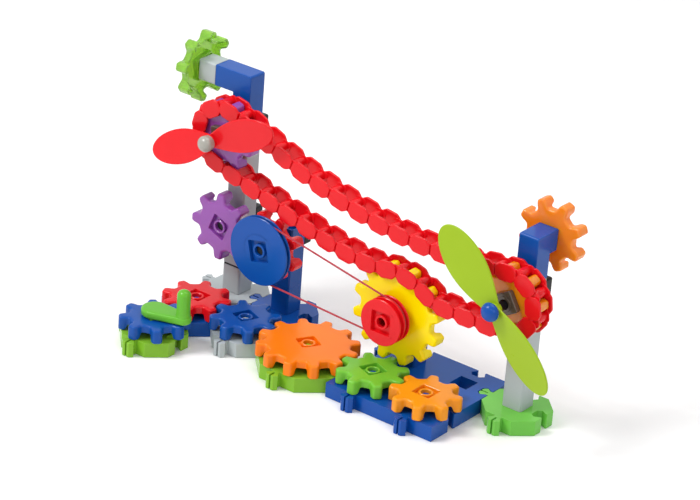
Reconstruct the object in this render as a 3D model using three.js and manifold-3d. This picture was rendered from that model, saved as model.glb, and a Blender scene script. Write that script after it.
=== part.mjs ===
// A crank-driven interlocking gear toy: flat gears in a row, two towers, a link chain and two propellers.
// Millimetres, +Z up. X runs along the gear row, Y runs from the front to the back.
// The origin is on the table under the middle of the square plate.
import * as THREE from "three";
import * as BufferGeometryUtils from "three/addons/utils/BufferGeometryUtils.js";
import Module from "manifold-3d";

const wasm = await Module();
wasm.setup();

// Driving sizes of the building grid
const gridStep = 54; // one cell, and the centre distance of two small gears
const plateThickness = 13.2;
const plateGap = 0.4; // between two plates side by side
const shellWall = 2.4;
const deckThickness = 2.6; // top of the hollow plates
const smallCornerCut = 14; // corner cut of a one-cell plate
const largeCornerCut = 22; // corner cut of the plate under the large gear

// Snap clips on the edges of the plates
const clipNeckHalf = 3.4;
const clipHeadHalf = 6.2;
const clipReach = 9.4;
const clipSlit = 1.6;
const clipSlack = 0.45;
const clipNeckShare = 0.25;
const clipHeadShare = 0.68;
const clipSlitShare = 0.28;

// Square plugs and pillars
const pillarWidth = 18.8;
const plugWidth = 16.4;
const plugDepth = 5.6;
const fitGap = 0.3; // between a plug and its socket, and between stacked pieces
const edgeCut = 1.2; // bevel on the corners of pillars and elbows

// Gears
const smallTeeth = 8;
const largeTeeth = 12;
const gearHeight = 12;
const bearingGap = 0.6; // between a gear and what it turns on
const addendum = 3.6;
const tipClearance = 0.8;
const toothRootWidth = 10.4;
const toothPitchWidth = 9.2;
const toothTipWidth = 5.6;
const rimHeight = 7; // the teeth reach further down than the rim
const recessDepth = 3.6;
const ringRadius = 6.2;
const ringDrop = 0.6; // the ring stands this much below the gear's face
const boreRadius = 4.2;
const pinRadius = 3.6;
const pinShort = 3.4; // a fixed pin ends this far below the gear's face
const firstGearDegrees = 0; // turn of the crank's gear
const purpleDegrees = 0;
const limeTopGearDegrees = 10;
const orangeTopGearDegrees = -22.5;
const topGearInset = 2.4; // the left top gear's teeth reach past its carrier by this much

// Crank handle
const crankThrow = 27;
const crankTurnDegrees = 10;
const crankHubRadius = 12;
const crankEndRadius = 7.2;
const crankArmHeight = 7.4;
const crankKnobRadius = 5.9;
const crankKnobHeight = 23.8;

// Heights of the axes above the table
const pulleyAxisHeight = 81.5;
const yellowAxisHeight = 66;
const leftAxisHeight = 165.6;
const rightAxisHeight = 117;
const gearFrontOffset = 30; // gear faces stand this far in front of their tower's axis

// Towers
const towerBlockHeight = 24.7;
const rightBlockHeight = 42.3;
const collarHeight = 1.8;
const collarInset = 0.3;
const hubHeight = 23.2; // a hub's block stands half above and half below its axis
const leftElbowHeight = 38.7;
const rightElbowHeight = 39.7;
const leftLowerHubFoot = pulleyAxisHeight - hubHeight / 2;
const leftLowerHubTop = pulleyAxisHeight + hubHeight / 2;
const leftHubFoot = leftAxisHeight - hubHeight / 2;
const leftElbowFoot = leftAxisHeight + hubHeight / 2;
const leftElbowTop = leftElbowFoot + leftElbowHeight;
const rightHubFoot = rightAxisHeight - hubHeight / 2;
const rightElbowFoot = rightAxisHeight + hubHeight / 2;
const rightElbowTop = rightElbowFoot + rightElbowHeight;
const pulleyPillarTop = pulleyAxisHeight + hubHeight / 2;
const yellowHubFoot = yellowAxisHeight - hubHeight / 2;
const yellowPillarTop = yellowAxisHeight + hubHeight / 2;
const leftArmReach = 29.2; // from the pillar's axis to the arm's end
const rightArmReach = 18.85;
const adapterLength = 17.6;
const axleRadius = 3.6;
const capWidth = 17;
const capDepth = 9;

// Pulleys and the band between them
const bandThickness = 1.6;
const bandPlaneOffset = 39.6; // in front of the pillars' axes
const bandLift = 0.3; // between the band and the floor of its groove
const bluePulleyRadius = 30.4;
const blueBandRadius = 27;
const redPulleyRadius = 20.2;
const redBandRadius = 18;
const blueGrooveWidth = 2.8;
const redGrooveWidth = 4.2;
const pulleyRecessWidth = 19.2;
const bluePulleyDegrees = 14; // turn of the recess in the pulley's face
const redPulleyDegrees = 1;
const grooveWall = 1.6;

// Chain
const chainGapHalf = 6.9; // half of the space between the side plates
const chainPlate = 2.4;
const chainPlateHalf = 7.3;
const chainBarrelRadius = 2.9;
const chainSlack = 0.8;
const chainNeckHalf = 3.4;
const chainBevelShare = 0.44;
const chainStartDegrees = 90; // a joint lies in the large gear's valley here
const saddleStartDegrees = 106; // where the chain meets the large upright gear
const saddleEndDegrees = 46.5;
const upperLeaveDegrees = 64; // where the upper run meets the left sprocket
const upperMeetDegrees = 102.5; // where it meets the right sprocket
const leftLeaveDegrees = 257;
const rightMeetDegrees = 268;
const sagShares = { upper: [0.27, 0.4], left: [0.36, 0.2], right: [0.17, 0.59] };
const engagedMargin = 1.6; // beyond a barrel touching the tooth tips, a link still counts as engaged

// Propellers; each offset is from the tower's axis to the middle of the blades
const bladeThickness = 2;
const bladePitchDegrees = 10.5;
const bladeRootHalf = 4.4;
const redBlade = {
  length: 70, width: 30, turnDegrees: 24.6, offset: 45.4, noseRadius: 7, noseShoulder: 4.7, widestShare: 0.53,
};
const limeBlade = {
  length: 77.6, width: 33.8, turnDegrees: 135.2, offset: 49.7, noseRadius: 8, noseShoulder: 1.5, widestShare: 0.56,
};
const propellerHubRadius = 6;
const propellerHubLength = 7;
const hubBlockDepth = 5.4;
const noseLengthShare = 0.85;

// How finely curves are cut
const roundSides = 8;
const pulleySides = 18;
const barrelSides = 6;
const bladeSteps = 4;
const noseSteps = 3;
const pathSteps = 24;
const bandSteps = 12;
const cutOverrun = 1; // how far a cutter runs past what it cuts
const halfTooth = 0.5;

// Colours of the moulded plastic
const finishes = {
  limeBase: { color: 0x9ccf2e, roughness: 0.32 },
  greenBase: { color: 0x6cc655, roughness: 0.32 },
  blue: { color: 0x2749a8, roughness: 0.28 },
  grey: { color: 0xb4b3b0, roughness: 0.4 },
  black: { color: 0x1d1d20, roughness: 0.45 },
  red: { color: 0xe3262c, roughness: 0.28 },
  orange: { color: 0xf58e2c, roughness: 0.28 },
  green: { color: 0x5fc24a, roughness: 0.28 },
  yellow: { color: 0xfbe414, roughness: 0.28 },
  purple: { color: 0x8d4fb0, roughness: 0.22 },
  lime: { color: 0xa6d13a, roughness: 0.25 },
  smoke: { color: 0x5a4f48, roughness: 0.2 },
  silver: { color: 0xc9c9c6, roughness: 0.3 },
  rubber: { color: 0xc8353f, roughness: 0.7 },
};
const material = Object.fromEntries(
  Object.entries(finishes).map(([name, finish]) => [
    name,
    new THREE.MeshStandardMaterial({ ...finish, metalness: 0, flatShading: true, name }),
  ]),
);

const quarterTurn = Math.PI / 2;
const degrees = THREE.MathUtils.degToRad;
const gearFoot = plateThickness + bearingGap;
const gearTop = gearFoot + gearHeight;

// Places on the grid, in cells
const place = (column, row) => ({ x: column * gridStep, y: row * gridStep });
const crankPlace = place(-4, -1.5);
const redPlace = place(-4, -0.5);
const bluePlace = place(-3, -0.5);
const largePlace = place(-1.75, -0.5);
const greenPlace = place(-0.5, -0.5);
const orangePlace = place(0.5, -0.5);
const leftPlace = place(-4, 0.5);
const pulleyPlace = place(-3, 0.5);
const yellowPlace = place(-0.5, 0.5);
const rightPlace = place(1.5, 0.5);

// Solids
function solid(geometry) {
  const bare = geometry.index ? geometry.clone() : geometry;
  bare.deleteAttribute("normal");
  bare.deleteAttribute("uv");
  const merged = BufferGeometryUtils.mergeVertices(bare, 1e-5);
  return new wasm.Manifold(
    new wasm.Mesh({
      numProp: 3,
      vertProperties: new Float32Array(merged.attributes.position.array),
      triVerts: new Uint32Array(merged.index.array),
    }),
  );
}

function geometryOf(shape) {
  const mesh = shape.getMesh();
  const geometry = new THREE.BufferGeometry();
  geometry.setAttribute("position", new THREE.BufferAttribute(mesh.vertProperties, 3));
  geometry.setIndex(new THREE.BufferAttribute(mesh.triVerts, 1));
  geometry.computeVertexNormals();
  return geometry;
}

const joined = (first, ...others) => others.reduce((sum, next) => sum.add(next), first);
const cut = (first, ...others) => others.reduce((rest, next) => rest.subtract(next), first);

function prism(points, bottom, top) {
  const shape = new THREE.Shape(points.map(([x, y]) => new THREE.Vector2(x, y)));
  const geometry = new THREE.ExtrudeGeometry(shape, { depth: top - bottom, bevelEnabled: false, curveSegments: 6 });
  return solid(geometry.translate(0, 0, bottom));
}

function box(lowX, highX, lowY, highY, lowZ, highZ) {
  const geometry = new THREE.BoxGeometry(highX - lowX, highY - lowY, highZ - lowZ);
  return solid(geometry.translate((lowX + highX) / 2, (lowY + highY) / 2, (lowZ + highZ) / 2));
}

function square(width, bottom, top) {
  return box(-width / 2, width / 2, -width / 2, width / 2, bottom, top);
}

function round(radius, bottom, top, sides = roundSides) {
  const geometry = new THREE.CylinderGeometry(radius, radius, top - bottom, sides);
  return solid(geometry.rotateX(quarterTurn).translate(0, 0, (bottom + top) / 2));
}

// Turned pieces: profile points are [radius, height], closed on the axis
function turned(profile, sides) {
  const points = profile.map(([radius, height]) => new THREE.Vector2(radius, height));
  return solid(new THREE.LatheGeometry(points, sides).rotateX(quarterTurn));
}

const moved = (shape, x, y, z) => shape.translate([x, y, z]);

// The clip outline, pointing along -Y from the edge at y = 0; a notch is wider and deeper by the slack
function clipOutline(slack, gap) {
  const neck = clipNeckHalf + slack;
  const head = clipHeadHalf + slack;
  const shoulder = slack + gap - clipReach * clipNeckShare;
  const widest = -clipReach * clipHeadShare;
  const end = -clipReach - slack;
  return [
    [neck, cutOverrun], [-neck, cutOverrun], [-neck, shoulder], [-head, widest],
    [-neck, end], [neck, end], [head, widest], [neck, shoulder],
  ];
}

function clipTab() {
  const tab = prism(clipOutline(0, 0), 0, plateThickness);
  const slit = box(-clipSlit / 2, clipSlit / 2, -clipReach - cutOverrun, -clipReach * clipSlitShare,
    -cutOverrun, plateThickness + cutOverrun);
  return cut(tab, slit);
}

function clipNotch() {
  return prism(clipOutline(clipSlack, plateGap), -cutOverrun, plateThickness + cutOverrun);
}

function turnedAbout(shape, degreesAboutZ) {
  return shape.rotate([0, 0, degreesAboutZ]);
}

// One plate: an eight-sided or square outline with sockets and gear pins on its cells and pockets below.
// Tabs stand on the front and left edges, notches are cut in the right and back edges.
function plate(halfWidth, cornerCut, cells) {
  const side = halfWidth - plateGap / 2;
  const corner = side - cornerCut;
  const outline = cornerCut === 0
    ? [[side, side], [-side, side], [-side, -side], [side, -side]]
    : [
      [side, corner], [corner, side], [-corner, side], [-side, corner],
      [-side, -corner], [-corner, -side], [corner, -side], [side, -corner],
    ];
  const socketWidth = plugWidth + 2 * fitGap;
  const notch = clipNotch();
  let shell = prism(outline, 0, plateThickness);
  for (const along of cells.edges) {
    shell = joined(
      shell,
      moved(clipTab(), along, -side, 0),
      moved(turnedAbout(clipTab(), -90), -side, along, 0),
    );
    shell = cut(shell, moved(notch, along, side, 0), moved(turnedAbout(notch, -90), side, along, 0));
  }
  for (const [x, y] of cells.pins) shell = joined(shell, moved(gearPin(), x, y, 0));
  for (const [x, y] of cells.sockets) {
    shell = cut(shell, moved(square(socketWidth, -cutOverrun, plateThickness + cutOverrun), x, y, 0));
  }
  for (const [x, y] of [...cells.pins, ...cells.sockets]) {
    for (const turn of [0, 90, 180, 270]) {
      shell = cut(shell, moved(turnedAbout(cornerPocket(), turn), x, y, 0));
    }
  }
  return shell;
}

// The three-sided pocket below a plate between two clips, in the corner towards +X and +Y
function cornerPocket() {
  const near = clipHeadHalf + clipSlack + shellWall;
  const far = gridStep / 2 - shellWall;
  return prism([[near, near], [far, near], [near, far]], -cutOverrun, plateThickness - deckThickness);
}

const halfCell = gridStep / 2;
const socketCell = { sockets: [[0, 0]], pins: [], edges: [0] };
const pinCell = { sockets: [], pins: [[0, 0]], edges: [0] };
const fourCells = {
  sockets: [[-halfCell, halfCell], [halfCell, halfCell]],
  pins: [[-halfCell, -halfCell], [halfCell, -halfCell]],
  edges: [-halfCell, halfCell],
};
const pitchRadius = (teeth) => (gridStep / 2) * (teeth / smallTeeth);

// Gears stand on z = 0 with their tooth ends; the face with the square recess is on top
const tipRadius = (teeth) => pitchRadius(teeth) + addendum;
const rootRadius = (teeth) => pitchRadius(teeth) - addendum - tipClearance;

// The six corners of one tooth that points along +X
function toothOutline(teeth, foot) {
  const rings = [
    [foot, toothRootWidth],
    [pitchRadius(teeth), toothPitchWidth],
    [tipRadius(teeth), toothTipWidth],
  ];
  const corner = (side, [radius, width]) => [Math.sqrt(radius ** 2 - (width / 2) ** 2), (side * width) / 2];
  return [...rings.map((ring) => corner(-1, ring)), ...rings.reverse().map((ring) => corner(1, ring))];
}

const turnPoint = ([x, y], angle) => [
  x * Math.cos(angle) - y * Math.sin(angle),
  x * Math.sin(angle) + y * Math.cos(angle),
];

// A recess's sides face the gaps between teeth
const recessTurn = (teeth) => (-halfTooth * 360) / teeth;

function gear(teeth, hubFoot = 0) {
  const rimFoot = gearHeight - rimHeight;
  const outlines = Array.from({ length: teeth }, (_, tooth) => (
    toothOutline(teeth, rootRadius(teeth)).map((point) => turnPoint(point, (2 * Math.PI * tooth) / teeth))
  ));
  const pins = outlines.map((outline) => prism(outline, 0, rimFoot));
  const body = joined(prism(outlines.flat(), rimFoot, gearHeight), ...pins);
  const opening = square(plugWidth + 2 * fitGap, gearHeight - recessDepth, gearHeight + cutOverrun);
  const recess = turnedAbout(opening, recessTurn(teeth));
  const hub = turnedAbout(round(ringRadius, hubFoot, gearHeight - ringDrop), recessTurn(teeth));
  return cut(joined(cut(body, recess), hub), round(boreRadius, -cutOverrun, gearHeight + cutOverrun));
}

// The round pin on a plate, on which a flat gear turns
function gearPin() {
  return round(pinRadius, plateThickness - cutOverrun, gearFoot + gearHeight - pinShort);
}

// A column with a square plug below and a square socket above, bevelled on its four corners
function bevelledSquare(width) {
  const half = width / 2;
  const inner = half - edgeCut;
  return [
    [half, inner], [inner, half], [-inner, half], [-half, inner],
    [-half, -inner], [-inner, -half], [inner, -half], [half, -inner],
  ];
}

function column(foot, top, socketAbove = true) {
  const body = joined(
    prism(bevelledSquare(pillarWidth), foot, top),
    square(plugWidth - 2 * fitGap, foot - plugDepth, foot + cutOverrun),
  );
  return socketAbove ? cut(body, square(plugWidth, top - plugDepth - fitGap, top + cutOverrun)) : body;
}

function collar(foot) {
  const ring = prism(bevelledSquare(pillarWidth - 2 * collarInset), foot, foot + collarHeight);
  return cut(ring, square(plugWidth, foot - cutOverrun, foot + collarHeight + cutOverrun));
}

// Shapes made along +Z, turned to point to the front (-Y), to the back (+Y) or to the left (-X)
const facingFront = (shape) => shape.rotate([90, 0, 0]);
const facingBack = (shape) => shape.rotate([-90, 0, 0]);
const facingLeft = (shape) => shape.rotate([0, -90, 0]);

function hub(foot, top, axisHeight, socketAbove = true) {
  const bore = moved(facingFront(round(boreRadius, -pillarWidth, pillarWidth)), 0, 0, axisHeight);
  return cut(column(foot, top, socketAbove), bore);
}

// An elbow on top of a tower: its arm points along -X and ends in a square socket or a round gear pin
function elbow(foot, top, reach, endsInPin) {
  const half = pillarWidth / 2;
  const under = top - pillarWidth;
  const outline = [
    [half, foot], [half, top - edgeCut], [half - edgeCut, top], [-reach, top], [-reach, under],
    [-half, under], [-half, foot],
  ];
  const shape = new THREE.Shape(outline.map(([x, y]) => new THREE.Vector2(x, y)));
  const bent = new THREE.ExtrudeGeometry(shape, { depth: pillarWidth, bevelEnabled: false });
  const arm = solid(bent.rotateX(quarterTurn).translate(0, half, 0));
  const body = joined(arm, square(plugWidth - 2 * fitGap, foot - plugDepth, foot + cutOverrun));
  if (endsInPin) {
    const pin = round(pinRadius, reach - cutOverrun, reach + bearingGap + gearHeight - pinShort);
    return joined(body, moved(facingLeft(pin), 0, 0, top - half));
  }
  const socket = facingLeft(square(plugWidth, reach - plugDepth - fitGap, reach + cutOverrun));
  return cut(body, moved(socket, 0, 0, top - half));
}

// A square plug with a shoulder and a round pin, on which a gear turns at the end of an elbow
function gearCarrier(shoulderLength) {
  const plug = square(plugWidth - 2 * fitGap, -plugDepth, cutOverrun);
  const pinTop = shoulderLength - topGearInset + gearHeight - pinShort;
  return joined(
    plug,
    prism(bevelledSquare(pillarWidth), 0, shoulderLength),
    round(pinRadius, 0, pinTop),
  );
}

// An axle through a tower: a square cap behind, a shoulder in front and a shaft that ends at a height
function axle(shaftEnd) {
  const face = pillarWidth / 2;
  return joined(
    round(axleRadius, -face - bearingGap - capDepth, shaftEnd),
    square(capWidth, -face - bearingGap - capDepth, -face - bearingGap),
    round(ringRadius, face + bearingGap, gearFrontOffset - gearHeight),
  );
}

// Pulleys: turned about +Z, with the band's groove at height 0 and the gear's plug below
function pulley(radius, bandRadius, grooveWidth, grooves, recessDegrees) {
  const back = -grooveWidth / 2 - grooveWall;
  const floor = bandRadius - bandThickness / 2 - bandLift;
  const profile = [[0, back], [radius, back], [radius, back + grooveWall]];
  for (let groove = 0; groove < grooves; groove += 1) {
    const middle = groove * (grooveWidth + grooveWall);
    const wall = middle + grooveWidth / 2;
    profile.push([floor, middle - grooveWidth / 2], [floor, middle + grooveWidth / 2]);
    profile.push([radius, wall], [radius, wall + grooveWall]);
  }
  const face = profile[profile.length - 1][1];
  profile.push([0, face]);
  const gearFace = gearFrontOffset - bandPlaneOffset;
  const opening = square(pulleyRecessWidth, face - recessDepth, face + cutOverrun);
  const recess = turnedAbout(opening, recessDegrees);
  const ring = round(ringRadius, face - recessDepth - cutOverrun, face - ringDrop);
  const neck = round(ringRadius + shellWall, gearFace + fitGap, back + cutOverrun);
  const plug = gearPlug(gearFace, gearFace + cutOverrun);
  return cut(
    joined(cut(turned(profile, pulleySides), recess), ring, neck, plug),
    round(boreRadius, gearFace - recessDepth - cutOverrun, face + cutOverrun),
  );
}

// A square plug that fills a gear's recess round its centre ring, up to a height above the gear's face
function gearPlug(gearFace, top) {
  return cut(
    square(plugWidth - 2 * fitGap, gearFace - recessDepth + fitGap, top),
    round(ringRadius + fitGap, gearFace - recessDepth - cutOverrun, gearFace - ringDrop + fitGap),
  );
}

// The adapter between a sprocket and its propeller
function hubAdapter() {
  const plug = gearPlug(gearFrontOffset, gearFrontOffset + cutOverrun);
  const block = prism(bevelledSquare(pillarWidth), gearFrontOffset, gearFrontOffset + hubBlockDepth);
  return cut(
    joined(plug, block),
    round(boreRadius, gearFrontOffset - recessDepth - cutOverrun, gearFrontOffset + hubBlockDepth + cutOverrun),
  );
}

// One blade's outline along +X: narrow at the hub, widest at a share of its length, round at the tip
function bladeOutline({ length, width, widestShare }) {
  const points = [];
  for (let step = 0; step < bladeSteps; step += 1) {
    const share = step / bladeSteps;
    const half = bladeRootHalf + (width / 2 - bladeRootHalf) * Math.sin(quarterTurn * share);
    points.push([share * widestShare * length, half]);
  }
  for (let step = 0; step < bladeSteps; step += 1) {
    const angle = (quarterTurn * step) / bladeSteps;
    const share = widestShare + (1 - widestShare) * Math.sin(angle);
    points.push([share * length, (width / 2) * Math.cos(angle)]);
  }
  const mirrored = points.map(([x, y]) => [x, -y]).reverse();
  return [...points, [length, 0], ...mirrored];
}

function propeller(blade) {
  const flat = prism(bladeOutline(blade), -bladeThickness / 2, bladeThickness / 2).rotate([bladePitchDegrees, 0, 0]);
  const hubPart = round(propellerHubRadius, -propellerHubLength / 2, propellerHubLength / 2);
  const bore = round(boreRadius, -propellerHubLength, propellerHubLength);
  return cut(joined(flat, turnedAbout(flat, 180), hubPart), bore).rotate([0, 0, blade.turnDegrees]);
}

// A round nose on the end of the shaft
function nose(radius, shoulder) {
  const profile = [[0, 0], [radius, 0]];
  for (let step = 1; step <= noseSteps; step += 1) {
    const angle = (quarterTurn * step) / noseSteps;
    profile.push([radius * Math.cos(angle), shoulder + radius * Math.sin(angle) * noseLengthShare]);
  }
  profile[profile.length - 1][0] = 0;
  return turned(profile, roundSides);
}

// The crank: a plug in its gear, a flat arm and an upright knob
function crank(plugDegrees) {
  const arm = [];
  for (let step = 0; step <= 6; step += 1) {
    const angle = quarterTurn + (Math.PI * step) / 6;
    arm.push([crankHubRadius * Math.cos(angle), crankHubRadius * Math.sin(angle)]);
  }
  for (let step = 0; step <= 6; step += 1) {
    const angle = -quarterTurn + (Math.PI * step) / 6;
    arm.push([crankThrow + crankEndRadius * Math.cos(angle), crankEndRadius * Math.sin(angle)]);
  }
  const knob = turned([
    [0, crankArmHeight - cutOverrun],
    [crankEndRadius, crankArmHeight - cutOverrun],
    [crankEndRadius, crankArmHeight],
    [crankKnobRadius, crankArmHeight + crankEndRadius - crankKnobRadius],
    [crankKnobRadius, crankArmHeight + crankKnobHeight - crankKnobRadius / 2],
    [crankKnobRadius / 2, crankArmHeight + crankKnobHeight],
    [0, crankArmHeight + crankKnobHeight],
  ], roundSides);
  return cut(
    joined(
      prism(arm, bearingGap, crankArmHeight),
      turnedAbout(gearPlug(0, bearingGap + cutOverrun), plugDegrees),
      moved(knob, crankThrow, 0, 0),
    ),
    round(boreRadius, -recessDepth - cutOverrun, bearingGap),
  );
}

// Chain: a closed path in the X-Z plane round the left sprocket, over the large gear and round the right sprocket
const circleAt = (spot, height, teeth) => ({ x: spot.x, z: height, radius: pitchRadius(teeth) });

function onCircle(circle, angleDegrees) {
  const angle = degrees(angleDegrees);
  return [circle.x + circle.radius * Math.cos(angle), circle.z + circle.radius * Math.sin(angle)];
}

function arcPoints(circle, from, to) {
  return Array.from({ length: pathSteps }, (_, step) => onCircle(circle, from + ((to - from) * step) / pathSteps));
}

// A hanging run between two circles, tangent to both; the shares set how far it follows each tangent
function runPoints(start, startAngle, end, endAngle, startTurn, endTurn, [startShare, endShare]) {
  const first = onCircle(start, startAngle);
  const last = onCircle(end, endAngle);
  const reach = Math.hypot(last[0] - first[0], last[1] - first[1]);
  const heading = (angle, turn) => [-turn * Math.sin(degrees(angle)), turn * Math.cos(degrees(angle))];
  const out = heading(startAngle, startTurn).map((part) => part * reach * startShare);
  const into = heading(endAngle, endTurn).map((part) => part * reach * endShare);
  const curve = new THREE.CubicBezierCurve(
    new THREE.Vector2(...first),
    new THREE.Vector2(first[0] + out[0], first[1] + out[1]),
    new THREE.Vector2(last[0] - into[0], last[1] - into[1]),
    new THREE.Vector2(...last),
  );
  return curve.getPoints(pathSteps).slice(0, -1).map((point) => [point.x, point.y]);
}

// The whole path, starting where the chain lies in a valley of the large gear, turning clockwise
function chainPath() {
  const left = circleAt(leftPlace, leftAxisHeight, smallTeeth);
  const right = circleAt(rightPlace, rightAxisHeight, smallTeeth);
  const middle = circleAt(yellowPlace, yellowAxisHeight, largeTeeth);
  return [
    { name: "chain_over_yellow", points: arcPoints(middle, chainStartDegrees, saddleEndDegrees) },
    {
      name: "chain_lower_right_run",
      points: runPoints(middle, saddleEndDegrees, right, rightMeetDegrees, -1, 1, sagShares.right),
    },
    { name: "chain_right_wrap", points: arcPoints(right, rightMeetDegrees, 360 + upperMeetDegrees) },
    {
      name: "chain_upper_run",
      points: runPoints(right, upperMeetDegrees, left, upperLeaveDegrees, 1, 1, sagShares.upper),
    },
    { name: "chain_left_wrap", points: arcPoints(left, upperLeaveDegrees, leftLeaveDegrees) },
    {
      name: "chain_lower_left_run",
      points: runPoints(left, leftLeaveDegrees, middle, saddleStartDegrees, 1, -1, sagShares.left),
    },
    { name: "chain_over_yellow", points: arcPoints(middle, saddleStartDegrees, chainStartDegrees) },
  ];
}

function pathLengths(sections) {
  const points = sections.flatMap((section) => section.points.map((point) => ({ point, name: section.name })));
  let length = 0;
  return points.map((entry, index) => {
    const next = points[(index + 1) % points.length].point;
    const start = length;
    length += Math.hypot(next[0] - entry.point[0], next[1] - entry.point[1]);
    return { ...entry, next, start, end: length };
  });
}

// A whole number of equal links closes the loop
function closedChain() {
  const pieces = pathLengths(chainPath());
  const total = pieces.at(-1).end;
  const count = Math.round((total * smallTeeth) / (2 * Math.PI * pitchRadius(smallTeeth)));
  const spacing = total / count;
  const joints = Array.from({ length: count }, (_, index) => {
    const along = index * spacing;
    const piece = pieces.find((candidate) => candidate.end > along);
    const share = (along - piece.start) / (piece.end - piece.start);
    return {
      name: piece.name,
      x: piece.point[0] + (piece.next[0] - piece.point[0]) * share,
      z: piece.point[1] + (piece.next[1] - piece.point[1]) * share,
    };
  });
  return joints.map((joint, index) => ({ ...joint, name: groupOf(joint), next: joints[(index + 1) % count] }));
}

// Links whose barrels lie among the teeth of a gear form a group of their own
function groupOf({ name, x, z }) {
  const wheels = [
    ["chain_left_wrap", leftPlace, leftAxisHeight, smallTeeth],
    ["chain_right_wrap", rightPlace, rightAxisHeight, smallTeeth],
    ["chain_over_yellow", yellowPlace, yellowAxisHeight, largeTeeth],
  ];
  const found = wheels.find(([, spot, height, teeth]) => (
    Math.hypot(x - spot.x, z - height) < tipRadius(teeth) + chainBarrelRadius + engagedMargin
  ));
  return found ? found[0] : name;
}

// A stretch of chain as one body: a row of six-sided side plates joined at their hinges, with cross barrels
function chainStretch(links) {
  const upper = [];
  const lower = [];
  const barrels = [];
  const middle = gearFrontOffset - gearHeight / 2;
  const barrel = (reach) => round(chainBarrelRadius, middle - reach, middle + reach, barrelSides);
  links.forEach(({ x, z, next }, index) => {
    const length = Math.hypot(next.x - x, next.z - z);
    const along = [(next.x - x) / length, (next.z - z) / length];
    const at = (forward, side) => [
      x + along[0] * forward - along[1] * side,
      z + along[1] * forward + along[0] * side,
    ];
    const bevel = chainPlateHalf * chainBevelShare;
    const start = chainSlack / 2;
    const end = length - start;
    const first = index === 0;
    const last = index === links.length - 1;
    if (first) upper.push(at(start, 0));
    upper.push(at(start + bevel, chainPlateHalf), at(end - bevel, chainPlateHalf));
    lower.push(at(start + bevel, -chainPlateHalf), at(end - bevel, -chainPlateHalf));
    if (last) upper.push(at(end, 0));
    else {
      upper.push(at(length, chainNeckHalf));
      lower.push(at(length, -chainNeckHalf));
    }
    const reach = first ? chainGapHalf : chainGapHalf + chainPlate / 2;
    barrels.push(barrel(reach).translate([...at(first ? chainSlack : 0, 0), 0]));
  });
  const outline = [...upper, ...lower.reverse()];
  const sidePlate = (from, to) => prism(outline, from, to);
  const stretch = joined(
    sidePlate(middle + chainGapHalf, middle + chainGapHalf + chainPlate),
    sidePlate(middle - chainGapHalf - chainPlate, middle - chainGapHalf),
    ...barrels,
  );
  return facingFront(stretch).translate([0, yellowPlace.y, 0]);
}

// The band: a flat strip round both grooves, in the plane of the grooves
function band() {
  const dx = yellowPlace.x - pulleyPlace.x;
  const dz = yellowAxisHeight - pulleyAxisHeight;
  const tilt = Math.atan2(dz, dx);
  const wrap = Math.acos((blueBandRadius - redBandRadius) / Math.hypot(dx, dz));
  const outline = (extra) => {
    const points = [];
    const sweep = (x, z, radius, from, to, steps) => {
      for (let step = 0; step <= steps; step += 1) {
        const angle = from + ((to - from) * step) / steps;
        points.push(new THREE.Vector2(x + radius * Math.cos(angle), z + radius * Math.sin(angle)));
      }
    };
    const blueReach = blueBandRadius + extra;
    const redReach = redBandRadius + extra;
    sweep(0, 0, blueReach, tilt + wrap, tilt + 2 * Math.PI - wrap, bandSteps);
    sweep(dx, dz, redReach, tilt - wrap, tilt + wrap, bandSteps);
    return points;
  };
  const shape = new THREE.Shape(outline(bandThickness / 2));
  shape.holes.push(new THREE.Path(outline(-bandThickness / 2).reverse()));
  const strip = new THREE.ExtrudeGeometry(shape, { depth: bandThickness, bevelEnabled: false });
  return facingFront(solid(strip.translate(0, 0, bandPlaneOffset - bandThickness / 2)));
}

const root = new THREE.Group();

function add(name, shape, finish) {
  const mesh = new THREE.Mesh(geometryOf(shape), material[finish]);
  mesh.name = name;
  root.add(mesh);
  return mesh;
}

function addAt(name, shape, finish, spot, height = 0, turnDegrees = 0) {
  const mesh = add(name, shape, finish);
  mesh.position.set(spot.x, spot.y, height);
  mesh.rotation.z = degrees(turnDegrees);
  return mesh;
}

// A piece made along +Z that faces the front on a tower's axis
function addFront(name, shape, finish, spot, height, turnDegrees = 0) {
  return addAt(name, facingFront(turnedAbout(shape, turnDegrees)), finish, spot, height);
}

// Plates
function addPlates() {
  const socketPlate = plate(halfCell, smallCornerCut, socketCell);
  const pinPlate = plate(halfCell, smallCornerCut, pinCell);
  addAt("crank_gear_base", pinPlate, "limeBase", crankPlace);
  addAt("red_gear_base", pinPlate, "blue", redPlace);
  addAt("blue_gear_base", pinPlate, "grey", bluePlace);
  addAt("left_tower_base", socketPlate, "grey", leftPlace);
  addAt("pulley_pillar_base", socketPlate, "blue", pulleyPlace);
  addAt("large_gear_base", plate(pitchRadius(largeTeeth), largeCornerCut, pinCell), "limeBase", largePlace);
  addAt("square_plate", plate(gridStep, 0, fourCells), "blue", place(0, 0));
  addAt("right_tower_base", socketPlate, "greenBase", rightPlace);
}

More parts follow.
